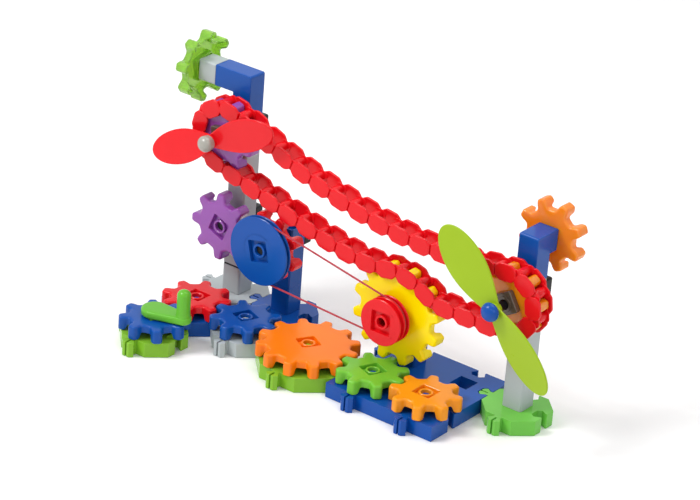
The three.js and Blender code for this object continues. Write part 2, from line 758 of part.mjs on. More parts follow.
// Flat gears: each one's turn follows from the one before it, so that the teeth mesh
function addFlatGears() {
  const row = [
    ["crank_gear", smallTeeth, "blue", crankPlace, 0],
    ["red_gear", smallTeeth, "red", redPlace, 1],
    ["blue_gear", smallTeeth, "blue", bluePlace, 0],
    ["large_orange_gear", largeTeeth, "orange", largePlace, 2],
    ["green_gear", smallTeeth, "green", greenPlace, 0],
    ["small_orange_gear", smallTeeth, "orange", orangePlace, 1],
  ];
  let turn = firstGearDegrees;
  row.forEach(([name, teeth, finish, spot, teethFurther], index) => {
    if (index > 0) {
      const [, lastTeeth, , lastSpot] = row[index - 1];
      const towards = THREE.MathUtils.radToDeg(Math.atan2(spot.y - lastSpot.y, spot.x - lastSpot.x));
      turn = meshedTurn(turn, lastTeeth, towards, teeth);
    }
    addAt(name, gear(teeth), finish, spot, gearFoot, turn + (teethFurther * 360) / teeth);
    if (name === "green_gear") greenTurn = turn;
  });
  const plugTurn = firstGearDegrees + recessTurn(smallTeeth);
  addAt("crank_handle", crank(plugTurn - crankTurnDegrees), "green", crankPlace, gearTop, crankTurnDegrees);
}

// The turn that lets a gear's teeth fall in the gaps of the last gear's teeth, in degrees
function meshedTurn(lastTurn, lastTeeth, towards, teeth) {
  const lastShare = ((towards - lastTurn) * lastTeeth) / 360;
  return towards + 180 - ((halfTooth - lastShare) * 360) / teeth;
}

// The turn of the upright large gear, from where the green gear's teeth stand at its back
function uprightTurn() {
  const share = ((90 - greenTurn) * smallTeeth) / 360;
  const offset = share - Math.floor(share) - halfTooth;
  return -90 + (offset * 360) / largeTeeth;
}

function addTowers() {
  const blockTop = plateThickness + towerBlockHeight;
  const collarTop = blockTop + collarHeight;
  addAt("left_block", column(plateThickness, blockTop), "grey", leftPlace);
  addAt("left_collar", collar(blockTop), "black", leftPlace);
  addAt("left_lower_pillar", column(collarTop, leftLowerHubFoot), "grey", leftPlace);
  addAt("left_lower_hub", hub(leftLowerHubFoot, leftLowerHubTop, pulleyAxisHeight), "grey", leftPlace);
  addAt("left_upper_pillar", column(leftLowerHubTop, leftHubFoot), "grey", leftPlace);
  addAt("left_upper_hub", hub(leftHubFoot, leftElbowFoot, leftAxisHeight), "grey", leftPlace);
  addAt("left_elbow", elbow(leftElbowFoot, leftElbowTop, leftArmReach, false), "blue", leftPlace);

  const stubTop = plateThickness + rightBlockHeight;
  addAt("right_block", column(plateThickness, stubTop), "grey", rightPlace);
  addAt("right_collar", collar(stubTop), "black", rightPlace);
  addAt("right_pillar", column(stubTop + collarHeight, rightHubFoot), "grey", rightPlace);
  addAt("right_hub", hub(rightHubFoot, rightElbowFoot, rightAxisHeight), "grey", rightPlace);
  addAt("right_elbow", elbow(rightElbowFoot, rightElbowTop, rightArmReach, true), "blue", rightPlace, 0, -90);

  addAt("pulley_pillar_block", column(plateThickness, blockTop), "blue", pulleyPlace);
  addAt("pulley_pillar_hub", hub(blockTop, pulleyPillarTop, pulleyAxisHeight), "blue", pulleyPlace);
  addAt("yellow_pillar", column(plateThickness, yellowHubFoot), "blue", yellowPlace);
  addAt("yellow_hub", hub(yellowHubFoot, yellowPillarTop, yellowAxisHeight), "blue", yellowPlace);
}

// Gears at the ends of the elbows
function addTopGears() {
  const leftCentre = leftElbowTop - pillarWidth / 2;
  const rightCentre = rightElbowTop - pillarWidth / 2;
  const carrier = gearCarrier(adapterLength);
  const gearStart = adapterLength - topGearInset;
  const shallow = turnedAbout(gear(smallTeeth, topGearInset + bearingGap), limeTopGearDegrees);
  const flipped = gear(smallTeeth).rotate([180, 0, 0]).translate([0, 0, gearHeight]);
  const spin = turnedAbout(flipped, orangeTopGearDegrees);
  addAt("left_adapter", facingLeft(carrier).translate([-leftArmReach, 0, 0]), "grey", leftPlace, leftCentre);
  const lime = facingLeft(shallow).translate([-leftArmReach - gearStart, 0, 0]);
  addAt("lime_top_gear", lime, "lime", leftPlace, leftCentre);
  const rightStart = rightArmReach + bearingGap;
  addAt("orange_top_gear", facingBack(spin).translate([0, rightStart, 0]), "orange", rightPlace, rightCentre);
}

// Upright gears, axles, pulleys and the band
function addUprightGears(links) {
  const back = gearFrontOffset - gearHeight;
  const upright = (teeth, turn) => turnedAbout(gear(teeth), turn).translate([0, 0, back]);
  const hiddenTurn = meshedTurn(purpleDegrees, smallTeeth, 0, smallTeeth);
  const yellowTurn = uprightTurn();
  addFront("purple_gear", upright(smallTeeth, purpleDegrees), "purple", leftPlace, pulleyAxisHeight);
  addFront("hidden_red_gear", upright(smallTeeth, hiddenTurn), "red", pulleyPlace, pulleyAxisHeight);
  addFront("yellow_gear", upright(largeTeeth, yellowTurn), "yellow", yellowPlace, yellowAxisHeight);
  const pinned = axle(gearFrontOffset - pinShort);
  addFront("purple_axle", pinned, "black", leftPlace, pulleyAxisHeight);
  addFront("pulley_axle", axle(bandPlaneOffset), "black", pulleyPlace, pulleyAxisHeight);
  addFront("yellow_axle", axle(bandPlaneOffset), "black", yellowPlace, yellowAxisHeight);
  const bluePlug = hiddenTurn + recessTurn(smallTeeth);
  const redPlug = yellowTurn + recessTurn(largeTeeth);
  const bluePulley = pulley(bluePulleyRadius, blueBandRadius, blueGrooveWidth, 1, bluePulleyDegrees - bluePlug);
  const redPulley = pulley(redPulleyRadius, redBandRadius, redGrooveWidth, 2, redPulleyDegrees - redPlug);
  addPulley("blue_pulley", bluePulley, "blue", pulleyPlace, pulleyAxisHeight, bluePlug);
  addPulley("red_pulley", redPulley, "red", yellowPlace, yellowAxisHeight, redPlug);
  addAt("elastic_band", band(), "rubber", pulleyPlace, pulleyAxisHeight);
  const sprockets = [
    ["left", leftPlace, leftAxisHeight, "purple", redBlade, "red", "silver"],
    ["right", rightPlace, rightAxisHeight, "orange", limeBlade, "lime", "blue"],
  ];
  for (const [side, spot, height, finish, blade, bladeFinish, noseFinish] of sprockets) {
    const turn = sprocketTurn(links, `chain_${side}_wrap`, spot, height);
    const hubFront = blade.offset + propellerHubLength / 2;
    addFront(`${side}_sprocket`, upright(smallTeeth, turn), finish, spot, height);
    addFront(`${side}_sprocket_axle`, axle(hubFront - fitGap), "black", spot, height);
    addFront(`${side}_hub_adapter`, hubAdapter(), "smoke", spot, height, turn + recessTurn(smallTeeth));
    addFront(`${bladeFinish}_propeller`, propeller(blade).translate([0, 0, blade.offset]), bladeFinish, spot, height);
    addFront(`${side}_nose`, nose(blade.noseRadius, blade.noseShoulder).translate([0, 0, hubFront]), noseFinish, spot, height);
  }
}

function addPulley(name, shape, finish, spot, height, turn) {
  const placed = turnedAbout(shape, turn).translate([0, 0, bandPlaneOffset]);
  addFront(name, placed, finish, spot, height);
}

// A sprocket's teeth stand half a tooth away from the joints of the chain that lie on it
function sprocketTurn(links, name, spot, height) {
  const onGear = links.filter((link) => link.name === name);
  const joint = onGear[Math.floor(onGear.length * halfTooth)];
  const angle = THREE.MathUtils.radToDeg(Math.atan2(joint.z - height, joint.x - spot.x));
  return angle + (halfTooth * 360) / smallTeeth;
}

function addChain(links) {
  const count = links.length;
  const starts = links.flatMap(({ name }, index) => (links[(index + count - 1) % count].name === name ? [] : [index]));
  starts.forEach((start, index) => {
    const stop = starts[(index + 1) % starts.length];
    const stretch = Array.from({ length: (stop - start + count) % count }, (_, step) => links[(start + step) % count]);
    add(links[start].name, chainStretch(stretch), "red");
  });
}

let greenTurn = 0;
addPlates();
addFlatGears();
addTowers();
addTopGears();
const chainLinks = closedChain();
addUprightGears(chainLinks);
addChain(chainLinks);

export default root;
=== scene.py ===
"""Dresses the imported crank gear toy: gears, plates, towers, chain, pulleys, band and propellers."""
import logging
import math
from collections.abc import Iterable, Sequence
from dataclasses import dataclass, field
from enum import Enum
from typing import Any

import bmesh
import bpy
from bpy.types import ID, Material, Mesh, Node, NodeSocket, NodeTree, Object
from mathutils import Matrix, Vector
from mathutils.geometry import interpolate_bezier, tessellate_polygon


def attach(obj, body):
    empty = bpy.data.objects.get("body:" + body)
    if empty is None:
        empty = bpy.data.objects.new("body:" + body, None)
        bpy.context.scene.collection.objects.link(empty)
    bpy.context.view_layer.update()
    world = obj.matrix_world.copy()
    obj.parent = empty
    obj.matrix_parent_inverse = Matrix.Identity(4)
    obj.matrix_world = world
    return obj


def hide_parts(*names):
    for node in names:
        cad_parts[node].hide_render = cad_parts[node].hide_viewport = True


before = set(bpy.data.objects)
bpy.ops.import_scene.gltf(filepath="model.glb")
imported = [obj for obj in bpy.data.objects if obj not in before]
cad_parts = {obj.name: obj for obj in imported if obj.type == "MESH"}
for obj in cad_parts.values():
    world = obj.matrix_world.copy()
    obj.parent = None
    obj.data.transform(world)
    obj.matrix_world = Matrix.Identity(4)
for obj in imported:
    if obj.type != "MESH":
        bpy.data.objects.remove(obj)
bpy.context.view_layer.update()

log = logging.getLogger("gear_toy")

MM = 0.001
GRID = 54.0  # centre distance of two small gears, in millimetres
STAND = "stand"
SAME_POINT = 0.001  # points closer than this, in millimetres, are one
SQUARE_TURN = 22.5  # half a small gear's tooth pitch, in degrees: recesses and plugs stand turned by it

# Sizes of the plug-in joints, in millimetres
GEAR_FACE = 30.0  # an upright gear's face, from its tower's axis
PLUG_WIDTH = 15.8
PLUG_ROUND = 0.8
PLUG_DEPTH = 3.3
PLUG_HOLE = 6.5
RECESS_DEPTH = 3.6
RECESS_ROUND = 1.2
RING_RADIUS = 6.2
RING_DROP = 0.6
BORE_RADIUS = 4.2

STILL = Matrix.Identity(4)
PATH_STEPS = 48  # steps of each arc and stretch of the chain's path

Point = tuple[float, float]
Loop = list[Point]


# Finishes


def linear(hex_colour: str) -> tuple[float, float, float, float]:
    """Turns an sRGB hex colour into linear values.

    Args:
        hex_colour: Six hex digits after a hash sign.

    Returns:
        Red, green, blue and an alpha of one.
    """
    parts = [int(hex_colour[i : i + 2], 16) / 255 for i in (1, 3, 5)]
    return (*[c / 12.92 if c <= 0.04045 else ((c + 0.055) / 1.055) ** 2.4 for c in parts], 1.0)


def add_node(tree: NodeTree, kind: str, settings: dict[str, Any] | None = None,
             inputs: dict[str | int, Any] | None = None) -> Node:
    """Adds a node, sets its properties and fills or links its inputs.

    Args:
        tree: The node tree to add to.
        kind: Blender's name for the node type.
        settings: Properties of the node.
        inputs: Values for input sockets; a node output is linked instead of copied.

    Returns:
        The new node.
    """
    node = tree.nodes.new(kind)
    for name, value in (settings or {}).items():
        setattr(node, name, value)
    for name, value in (inputs or {}).items():
        if isinstance(value, NodeSocket):
            tree.links.new(value, node.inputs[name])
        else:
            node.inputs[name].default_value = value
    return node


def maths(tree: NodeTree, operation: str, first: Any, second: Any) -> NodeSocket:
    """Adds a Math node with two inputs and returns its result."""
    return add_node(tree, "ShaderNodeMath", {"operation": operation}, {0: first, 1: second}).outputs[0]


def noise(tree: NodeTree, place: NodeSocket, scale: float, detail: float) -> NodeSocket:
    """Adds a noise with waves about 1 / scale metres long and returns its values."""
    return add_node(tree, "ShaderNodeTexNoise", inputs={
        "Vector": place, "Scale": scale, "Detail": detail}).outputs["Fac"]


def blank_material(name: str) -> tuple[Material, NodeTree, NodeSocket]:
    """Starts a material without nodes.

    Args:
        name: Name of the material.

    Returns:
        The material, its tree and the Object coordinates.
    """
    made = bpy.data.materials.new(name)
    made.use_nodes = True
    made.node_tree.nodes.clear()
    return made, made.node_tree, add_node(made.node_tree, "ShaderNodeTexCoord").outputs["Object"]


def close_material(tree: NodeTree, tones: tuple[NodeSocket, str, str],
                   relief: tuple[NodeSocket, float, float], values: dict[str, Any]) -> None:
    """Ends a material in its shader.

    Args:
        tree: The material's tree.
        tones: What mixes two colours, and the colours.
        relief: Heights of the skin, their strength and their depth in metres.
        values: The shader's other inputs.
    """
    colour = add_node(tree, "ShaderNodeMix", {"data_type": "RGBA"}, {
        0: tones[0], 6: linear(tones[1]), 7: linear(tones[2])})
    bump = add_node(tree, "ShaderNodeBump", inputs={
        "Height": relief[0], "Strength": relief[1], "Distance": relief[2]})
    shader = add_node(tree, "ShaderNodeBsdfPrincipled", inputs={
        "Base Color": colour.outputs[2], "Normal": bump.outputs["Normal"], **values})
    add_node(tree, "ShaderNodeOutputMaterial", inputs={"Surface": shader.outputs["BSDF"]})


@dataclass(frozen=True)
class MouldedPlastic:
    """Moulded plastic: even colour, a soft gloss and a faint skin like orange peel.

    The skin's waves are about 3 mm long and the colour drifts over about 40 mm.
    """

    slot: str
    name: str
    colour: str
    shade: str
    roughness: float = 0.2
    sheen: float = 0.22
    glow: float = 0.0
    clear: float = 0.0
    reach: tuple[float, float, float] = (0.004, 0.003, 0.002)

    def material(self) -> Material:
        """Builds the material on the first call.

        Returns:
            The material, the same one each time.
        """
        known = bpy.data.materials.get(self.name)
        if known:
            return known
        made, tree, place = blank_material(self.name)
        rough = add_node(tree, "ShaderNodeMapRange", inputs={
            "Value": noise(tree, place, 90.0, 4.0), "To Min": self.roughness * 0.75,
            "To Max": self.roughness * 1.3})
        tones = noise(tree, place, 24.0, 3.0), self.shade, self.colour
        close_material(tree, tones, (noise(tree, place, 330.0, 2.0), 0.02, 0.0006), {
            "Roughness": rough.outputs["Result"], "IOR": 1.53, "Specular IOR Level": self.sheen,
            "Transmission Weight": self.clear, "Subsurface Weight": self.glow,
            "Subsurface Radius": self.reach, "Subsurface Scale": 1.0})
        return made


@dataclass(frozen=True)
class BandRubber:
    """Elastic band of natural rubber: dull, with fine lines along it from the slitting knife."""

    slot: str
    name: str

    def material(self) -> Material:
        """Builds the rubber's material.

        Returns:
            The material.
        """
        made, tree, place = blank_material(self.name)
        lines = noise(tree, place, 700.0, 2.0)
        close_material(tree, (lines, "#9A2838", "#C03A4A"), (lines, 0.2, 0.0004), {
            "Roughness": 0.6, "IOR": 1.52})
        return made


class Finish(Enum):
    """The toy's finishes: one for each colour of pellet, and the rubber."""

    LIME = MouldedPlastic("lime_plastic", "lime ABS, polished mould", "#86BE30", "#76AC28")
    LIME_CLEAR = MouldedPlastic(
        "lime_plastic", "lime polystyrene, clear", "#B2E550", "#9DDA3E", 0.12, 0.6, 0.0, 0.6)
    LIME_BLADE = MouldedPlastic(
        "lime_plastic", "lime polypropylene, polished mould", "#9EBC20", "#94B31A", 0.3)
    GREEN = MouldedPlastic("leaf_green_plastic", "mid green ABS, polished mould", "#7AC63C", "#68B430")
    CRANK = MouldedPlastic("leaf_green_plastic", "apple green ABS, polished mould", "#68B834", "#5AAB2A")
    PALE_GREEN = MouldedPlastic("pale_green_plastic", "pale green ABS, polished mould", "#74C64E", "#66BB44")
    BLUE = MouldedPlastic("blue_plastic", "royal blue ABS, polished mould", "#0A50A6", "#08479A")
    GREY = MouldedPlastic("grey_plastic", "light grey ABS, satin mould", "#B2BABC", "#A6AEB0", 0.36)
    BLACK = MouldedPlastic("black_plastic", "black ABS, satin mould", "#15151A", "#101013", 0.42)
    RED = MouldedPlastic("red_plastic", "red ABS, polished mould", "#E8141F", "#D60D18")
    ORANGE = MouldedPlastic("orange_plastic", "orange ABS, polished mould", "#F88410", "#F0740B")
    ORANGE_LIGHT = MouldedPlastic("orange_plastic", "light orange ABS, polished mould", "#F29A1A", "#EC8C12")
    ORANGE_CLEAR = MouldedPlastic(
        "orange_plastic", "orange polystyrene, half clear", "#FF9412", "#FA820C", 0.16, 0.5, 0.5, 0.1,
        (0.012, 0.003, 0.001))
    YELLOW = MouldedPlastic("yellow_plastic", "yellow ABS, polished mould", "#FFE900", "#FADD00", glow=0.3)
    PURPLE = MouldedPlastic(
        "purple_plastic", "purple polystyrene, half clear", "#A052B4", "#8D44A4", 0.14, 0.5, 0.25, 0.15)
    SMOKE = MouldedPlastic(
        "smoke_plastic", "smoky polystyrene, see-through", "#7C6A5C", "#5F5148", 0.14, 0.5, 0.0, 0.35)
    SILVER = MouldedPlastic(
        "silver_plastic", "silver-grey ABS, satin mould", "#A5A39C", "#959389", 0.25, 0.6)
    BAND = BandRubber("band_rubber", "red natural rubber, slit")


# Shapes


class Facing(Enum):
    """Which way a piece made along +Z points on the toy."""

    UP = Matrix.Identity(4)
    FRONT = Matrix.Rotation(math.radians(90), 4, "X")
    BACK = Matrix.Rotation(math.radians(-90), 4, "X")
    LEFT = Matrix.Rotation(math.radians(-90), 4, "Y")


@dataclass(frozen=True)
class Spot:
    """An axis on the toy, in millimetres, with the way its pieces face."""

    column: float
    row: float
    height: float
    facing: Facing = Facing.UP

    def place(self, lift: float = 0.0, turn: float = 0.0) -> Matrix:
        """Gives the matrix that puts a piece here.

        Args:
            lift: Distance along the axis, in millimetres.
            turn: Turn about the axis, in degrees.

        Returns:
            A matrix from millimetres about the axis to metres in the frame.
        """
        here = Matrix.Translation(Vector((self.column * GRID, self.row * GRID, self.height)) * MM)
        spin = Matrix.Translation((0, 0, lift * MM)) @ Matrix.Rotation(math.radians(turn), 4, "Z")
        return here @ self.facing.value @ spin @ Matrix.Scale(MM, 4)


PURPLE_AXIS = Spot(-4, 0.5, 81.5, Facing.FRONT)
PULLEY_AXIS = Spot(-3, 0.5, 81.5, Facing.FRONT)
YELLOW_AXIS = Spot(-0.5, 0.5, 66.0, Facing.FRONT)
LEFT_AXIS = Spot(-4, 0.5, 165.6, Facing.FRONT)
RIGHT_AXIS = Spot(1.5, 0.5, 117.0, Facing.FRONT)


def circle(radius: float, steps: int = 48) -> Loop:
    """A closed round loop of points."""
    angles = [math.tau * i / steps for i in range(steps)]
    return [(radius * math.cos(angle), radius * math.sin(angle)) for angle in angles]


def dome(radius: float, low: float, height: float, steps: int) -> Loop:
    """The profile of a dome, from its rim to the axis."""
    angles = [math.pi / 2 * i / steps for i in range(steps)]
    return [(radius * math.cos(a), low + height * math.sin(a)) for a in angles] + [(0, low + height)]


def square(width: float) -> Loop:
    """A closed square loop of points."""
    half = width / 2
    return [(half, half), (-half, half), (-half, -half), (half, -half)]


def turned(loop: Loop, degrees: float) -> Loop:
    """Turns a loop about the origin."""
    c, s = math.cos(math.radians(degrees)), math.sin(math.radians(degrees))
    return [(x * c - y * s, x * s + y * c) for x, y in loop]


def rounded(loop: Loop, radii: Sequence[float] | float, steps: int = 5) -> Loop:
    """Rounds the corners of a closed loop.

    Args:
        loop: The corners.
        radii: One radius for all corners, or one for each.
        steps: Points on each corner's arc, less one.

    Returns:
        The rounded loop.
    """
    out: Loop = []
    count = len(loop)
    for i, corner in enumerate(loop):
        here = Vector(corner)
        before = Vector(loop[i - 1]) - here
        after = Vector(loop[(i + 1) % count]) - here
        radius = radii if isinstance(radii, (int, float)) else radii[i]
        angle = before.angle(after)
        if radius <= 0 or angle > math.radians(176):
            out.append(corner)
            continue
        reach = min(radius / math.tan(angle / 2), before.length * 0.49, after.length * 0.49)
        start = here + before.normalized() * reach
        end = here + after.normalized() * reach
        for step in range(steps + 1):
            t = step / steps
            point = start * (1 - t) ** 2 + here * 2 * t * (1 - t) + end * t**2
            out.append((point.x, point.y))
    return out


def inset(loop: Loop, depth: float) -> Loop:
    """Moves a closed loop inwards.

    Args:
        loop: The loop, counter-clockwise.
        depth: How far it moves.

    Returns:
        The smaller loop.
    """
    out: Loop = []
    for i, (x, y) in enumerate(loop):
        (ax, ay), (bx, by) = loop[i - 1], loop[(i + 1) % len(loop)]
        reach = math.dist((ax, ay), (bx, by))
        out.append((x - (by - ay) / reach * depth, y + (bx - ax) / reach * depth))
    return out


def skin(rings: Sequence[Sequence[Sequence[float]]], around: bool = True) -> Mesh:
    """Joins rows of points with faces, each row to the next.

    Args:
        rings: Rows of points; two rows with unlike counts are closed loops at one height, and what lies
            between them is filled.
        around: True where the rows close on themselves.

    Returns:
        The faces as one mesh.
    """
    mesh = bpy.data.meshes.new("skin")
    points: list[Sequence[float]] = []
    faces: list[Sequence[int]] = []
    starts: list[int] = []
    for ring in rings:
        starts.append(len(points))
        points += ring
    for (a, lower), (b, upper) in zip(zip(starts, rings), zip(starts[1:], rings[1:])):
        if len(lower) == len(upper):
            steps = len(lower) if around else len(lower) - 1
            for i in range(steps):
                j = (i + 1) % len(lower)
                faces.append((a + i, a + j, b + j, b + i))
            continue
        both = [Vector(p) for p in lower], [Vector(p) for p in upper]
        for corners in tessellate_polygon(both):
            faces.append([a + i if i < len(lower) else b + i - len(lower) for i in corners])
    mesh.from_pydata(points, [], faces)
    return mesh


def lifted(loop: Loop, height: float) -> list[tuple[float, float, float]]:
    """A flat loop at a height."""
    return [(x, y, height) for x, y in loop]


def placed(name: str, data: ID) -> Object:
    """Puts a new object in the scene.

    Args:
        name: Its name.
        data: Its mesh, curve, camera or light.

    Returns:
        The object.
    """
    obj = bpy.data.objects.new(name, data)
    bpy.context.scene.collection.objects.link(obj)
    return obj


def mesh_of(obj: Object) -> Mesh:
    """Turns an object with its modifiers into a plain mesh and removes the object.

    Args:
        obj: A curve or mesh object that is in the scene.

    Returns:
        The evaluated mesh.
    """
    bpy.context.view_layer.update()
    graph = bpy.context.evaluated_depsgraph_get()
    mesh = bpy.data.meshes.new_from_object(obj.evaluated_get(graph), depsgraph=graph)
    bpy.data.objects.remove(obj)
    return mesh


def slab(loops: Iterable[Loop], low: float, high: float, bevel: float = 0.5) -> Mesh:
    """A flat plate with rounded edges; loops inside the first one are holes.

    Args:
        loops: Closed outlines in millimetres.
        low: Height of the underside.
        high: Height of the top.
        bevel: Radius of the edges.

    Returns:
        A closed mesh in millimetres.
    """
    curve = bpy.data.curves.new("outline", "CURVE")
    curve.dimensions = "2D"
    curve.fill_mode = "BOTH"
    curve.extrude = (high - low) / 2 - bevel
    curve.bevel_depth = bevel
    curve.bevel_resolution = 3
    curve.offset = -bevel
    for loop in loops:
        line = curve.splines.new("POLY")
        line.points.add(len(loop) - 1)
        for point, (x, y) in zip(line.points, loop):
            point.co = (x, y, 0.0, 1.0)
        line.use_cyclic_u = True
    mesh = mesh_of(placed("outline", curve))
    mesh.transform(Matrix.Translation((0, 0, (low + high) / 2)))
    return mesh


def lathe(profile: Sequence[Point], steps: int = 48) -> Mesh:
    """A turned solid from (radius, height) points that run from the axis, or close on themselves.

    Args:
        profile: Points of the profile.
        steps: Sides of the turned solid.

    Returns:
        A closed mesh in millimetres.
    """
    mesh = bpy.data.meshes.new("turned")
    shape = bmesh.new()
    on_axis = profile[0][0] == 0
    rings = []
    for radius, height in profile:
        if radius == 0:
            rings.append([shape.verts.new((0, 0, height))] * steps)
            continue
        rings.append([shape.verts.new((*point, height)) for point in circle(radius, steps)])
    pairs = list(zip(rings, rings[1:])) + ([] if on_axis else [(rings[-1], rings[0])])
    for lower, upper in pairs:
        for i in range(steps):
            j = (i + 1) % steps
            corners = list(dict.fromkeys((lower[i], lower[j], upper[j], upper[i])))
            if len(corners) > 2:
                shape.faces.new(corners)
    shape.to_mesh(mesh)
    shape.free()
    return mesh


def merge(parts: Iterable[tuple[Mesh, Matrix]], name: str,
          weld: bool = False) -> Mesh:
    """Joins meshes into one, each moved by its matrix, with clean outward faces.

    Args:
        parts: Meshes and where they go.
        name: Name of the result.
        weld: True where the meshes share edges and close each other.

    Returns:
        The joined mesh.
    """
    shape = bmesh.new()
    for mesh, place in parts:
        piece = bmesh.new()
        piece.from_mesh(mesh)
        bmesh.ops.remove_doubles(piece, verts=piece.verts, dist=SAME_POINT)
        bmesh.ops.recalc_face_normals(piece, faces=piece.faces)
        piece.transform(place)
        moved = bpy.data.meshes.new("moved")
        piece.to_mesh(moved)
        piece.free()
        shape.from_mesh(moved)
        bpy.data.meshes.remove(moved)
    if weld:
        bmesh.ops.remove_doubles(shape, verts=shape.verts, dist=2 * SAME_POINT)
        bmesh.ops.recalc_face_normals(shape, faces=shape.faces)
    merged = bpy.data.meshes.new(name)
    shape.to_mesh(merged)
    shape.free()
    return merged


def modified(mesh: Mesh, kind: str, **settings: Any) -> Mesh:
    """Gives the plain result of one modifier on a mesh.

    Args:
        mesh: The mesh.
        kind: Blender's name for the modifier's type.
        settings: Properties of the modifier.

    Returns:
        A new mesh.
    """
    holder = placed("holder", mesh)
    modifier = holder.modifiers.new(kind, kind)
    for name, value in settings.items():
        setattr(modifier, name, value)
    return mesh_of(holder)


def finish_piece(mesh: Mesh, finish: Finish, body: str, *nodes: str, name: str = "") -> None:
    """Makes a piece of the toy from a mesh, in place of CAD nodes.

    Args:
        mesh: Its shape, in metres in the frame.
        finish: What it is made of.
        body: The CAD body that it rides on.
        nodes: CAD nodes that it stands for.
        name: Name of the piece, where it doesn't come from the node.
    """
    mesh.materials.clear()
    mesh.materials.append(finish.value.material())
    for face in mesh.polygons:
        face.material_index = 0
        face.use_smooth = True
    mesh.set_sharp_from_angle(angle=math.radians(38))
    flats = modified(mesh, "WEIGHTED_NORMAL", mode="FACE_AREA", weight=100, keep_sharp=True)
    piece = placed(name or f"{nodes[0]}_dressed", flats)
    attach(piece, body)
    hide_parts(*nodes)
    log.info("made %s with %d faces", piece.name, len(flats.polygons))


def bevelled_copy(node: str, bevel: float) -> Mesh:
    """Copies a CAD node's mesh, merges its loose triangles and rounds its edges.

    Args:
        node: The CAD node.
        bevel: Width of the rounding, in millimetres.

    Returns:
        The rounded mesh in metres.
    """
    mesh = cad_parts[node].data.copy()
    shape = bmesh.new()
    shape.from_mesh(mesh)
    bmesh.ops.remove_doubles(shape, verts=shape.verts, dist=1e-6)
    bmesh.ops.dissolve_limit(shape, angle_limit=math.radians(1), verts=shape.verts, edges=shape.edges)
    shape.to_mesh(mesh)
    shape.free()
    return modified(mesh, "BEVEL", width=bevel * MM, segments=3, limit_method="ANGLE",
                    angle_limit=math.radians(25), use_clamp_overlap=True)


# Geometry Nodes trees


def new_tree(name: str, inputs: Sequence[tuple[str, str]]) -> tuple[NodeTree, Node]:
    """Starts a Geometry Nodes tree with named inputs and one geometry output.

    Args:
        name: Name of the tree.
        inputs: Names and socket types of the inputs.

    Returns:
        The tree and its group input node.
    """
    tree = bpy.data.node_groups.new(name, "GeometryNodeTree")
    for label, kind in inputs:
        tree.interface.new_socket(label, in_out="INPUT", socket_type=kind)
    tree.interface.new_socket("Geometry", in_out="OUTPUT", socket_type="NodeSocketGeometry")
    return tree, add_node(tree, "NodeGroupInput")


def close_tree(tree: NodeTree, instances: NodeSocket,
               plastic: NodeSocket) -> None:
    """Ends a tree in Realize Instances and Set Material.

    Args:
        tree: The tree.
        instances: Its copies.
        plastic: Their material.
    """
    real = add_node(tree, "GeometryNodeRealizeInstances", inputs={"Geometry": instances})
    painted = add_node(tree, "GeometryNodeSetMaterial", inputs={
        "Geometry": real.outputs["Geometry"], "Material": plastic})
    add_node(tree, "NodeGroupOutput", inputs={0: painted.outputs["Geometry"]})


def ring_tree() -> NodeTree:
    """Stands copies of one tooth round an axis.

    Returns:
        The tree, with the inputs Tooth, Teeth and Plastic.
    """
    tree, given = new_tree("teeth round a gear", [
        ("Tooth", "NodeSocketObject"), ("Teeth", "NodeSocketInt"), ("Plastic", "NodeSocketMaterial")])
    tooth = add_node(tree, "GeometryNodeObjectInfo", inputs={"Object": given.outputs["Tooth"]})
    points = add_node(tree, "GeometryNodeMeshLine", inputs={
        "Count": given.outputs["Teeth"], "Offset": (0, 0, 0)})
    index = add_node(tree, "GeometryNodeInputIndex")
    share = maths(tree, "DIVIDE", index.outputs[0], given.outputs["Teeth"])
    turn = add_node(tree, "ShaderNodeCombineXYZ", inputs={"Z": maths(tree, "MULTIPLY", share, math.tau)})
    copies = add_node(tree, "GeometryNodeInstanceOnPoints", inputs={
        "Points": points.outputs["Mesh"], "Instance": tooth.outputs["Geometry"],
        "Rotation": turn.outputs[0]})
    close_tree(tree, copies.outputs["Instances"], given.outputs["Plastic"])
    return tree


def chain_tree() -> NodeTree:
    """Stands one link on each joint of the chain, turned towards the next joint.

    Returns:
        The tree, with the inputs Joints, Link and Plastic.
    """
    tree, given = new_tree("links along a chain", [
        ("Joints", "NodeSocketGeometry"), ("Link", "NodeSocketObject"), ("Plastic", "NodeSocketMaterial")])
    link = add_node(tree, "GeometryNodeObjectInfo", inputs={"Object": given.outputs["Link"]})
    turn = add_node(tree, "GeometryNodeInputNamedAttribute", {"data_type": "FLOAT_VECTOR"},
                    {"Name": "turn"})
    copies = add_node(tree, "GeometryNodeInstanceOnPoints", inputs={
        "Points": given.outputs["Joints"], "Instance": link.outputs["Geometry"],
        "Rotation": turn.outputs["Attribute"]})
    close_tree(tree, copies.outputs["Instances"], given.outputs["Plastic"])
    return tree


def grown(tree: NodeTree, base: Mesh, values: dict[str, Any]) -> Mesh:
    """Runs a Geometry Nodes tree on a mesh and returns the plain result.

    Args:
        tree: The tree to run.
        base: The mesh that the modifier sits on.
        values: The tree's inputs by name.

    Returns:
        The realised mesh.
    """
    holder = placed("holder", base)
    modifier = holder.modifiers.new(tree.name, "NODES")
    modifier.node_group = tree
    for item in tree.interface.items_tree:
        if item.in_out == "INPUT" and item.name in values:
            modifier[item.identifier] = values[item.name]
    return mesh_of(holder)


# Gears


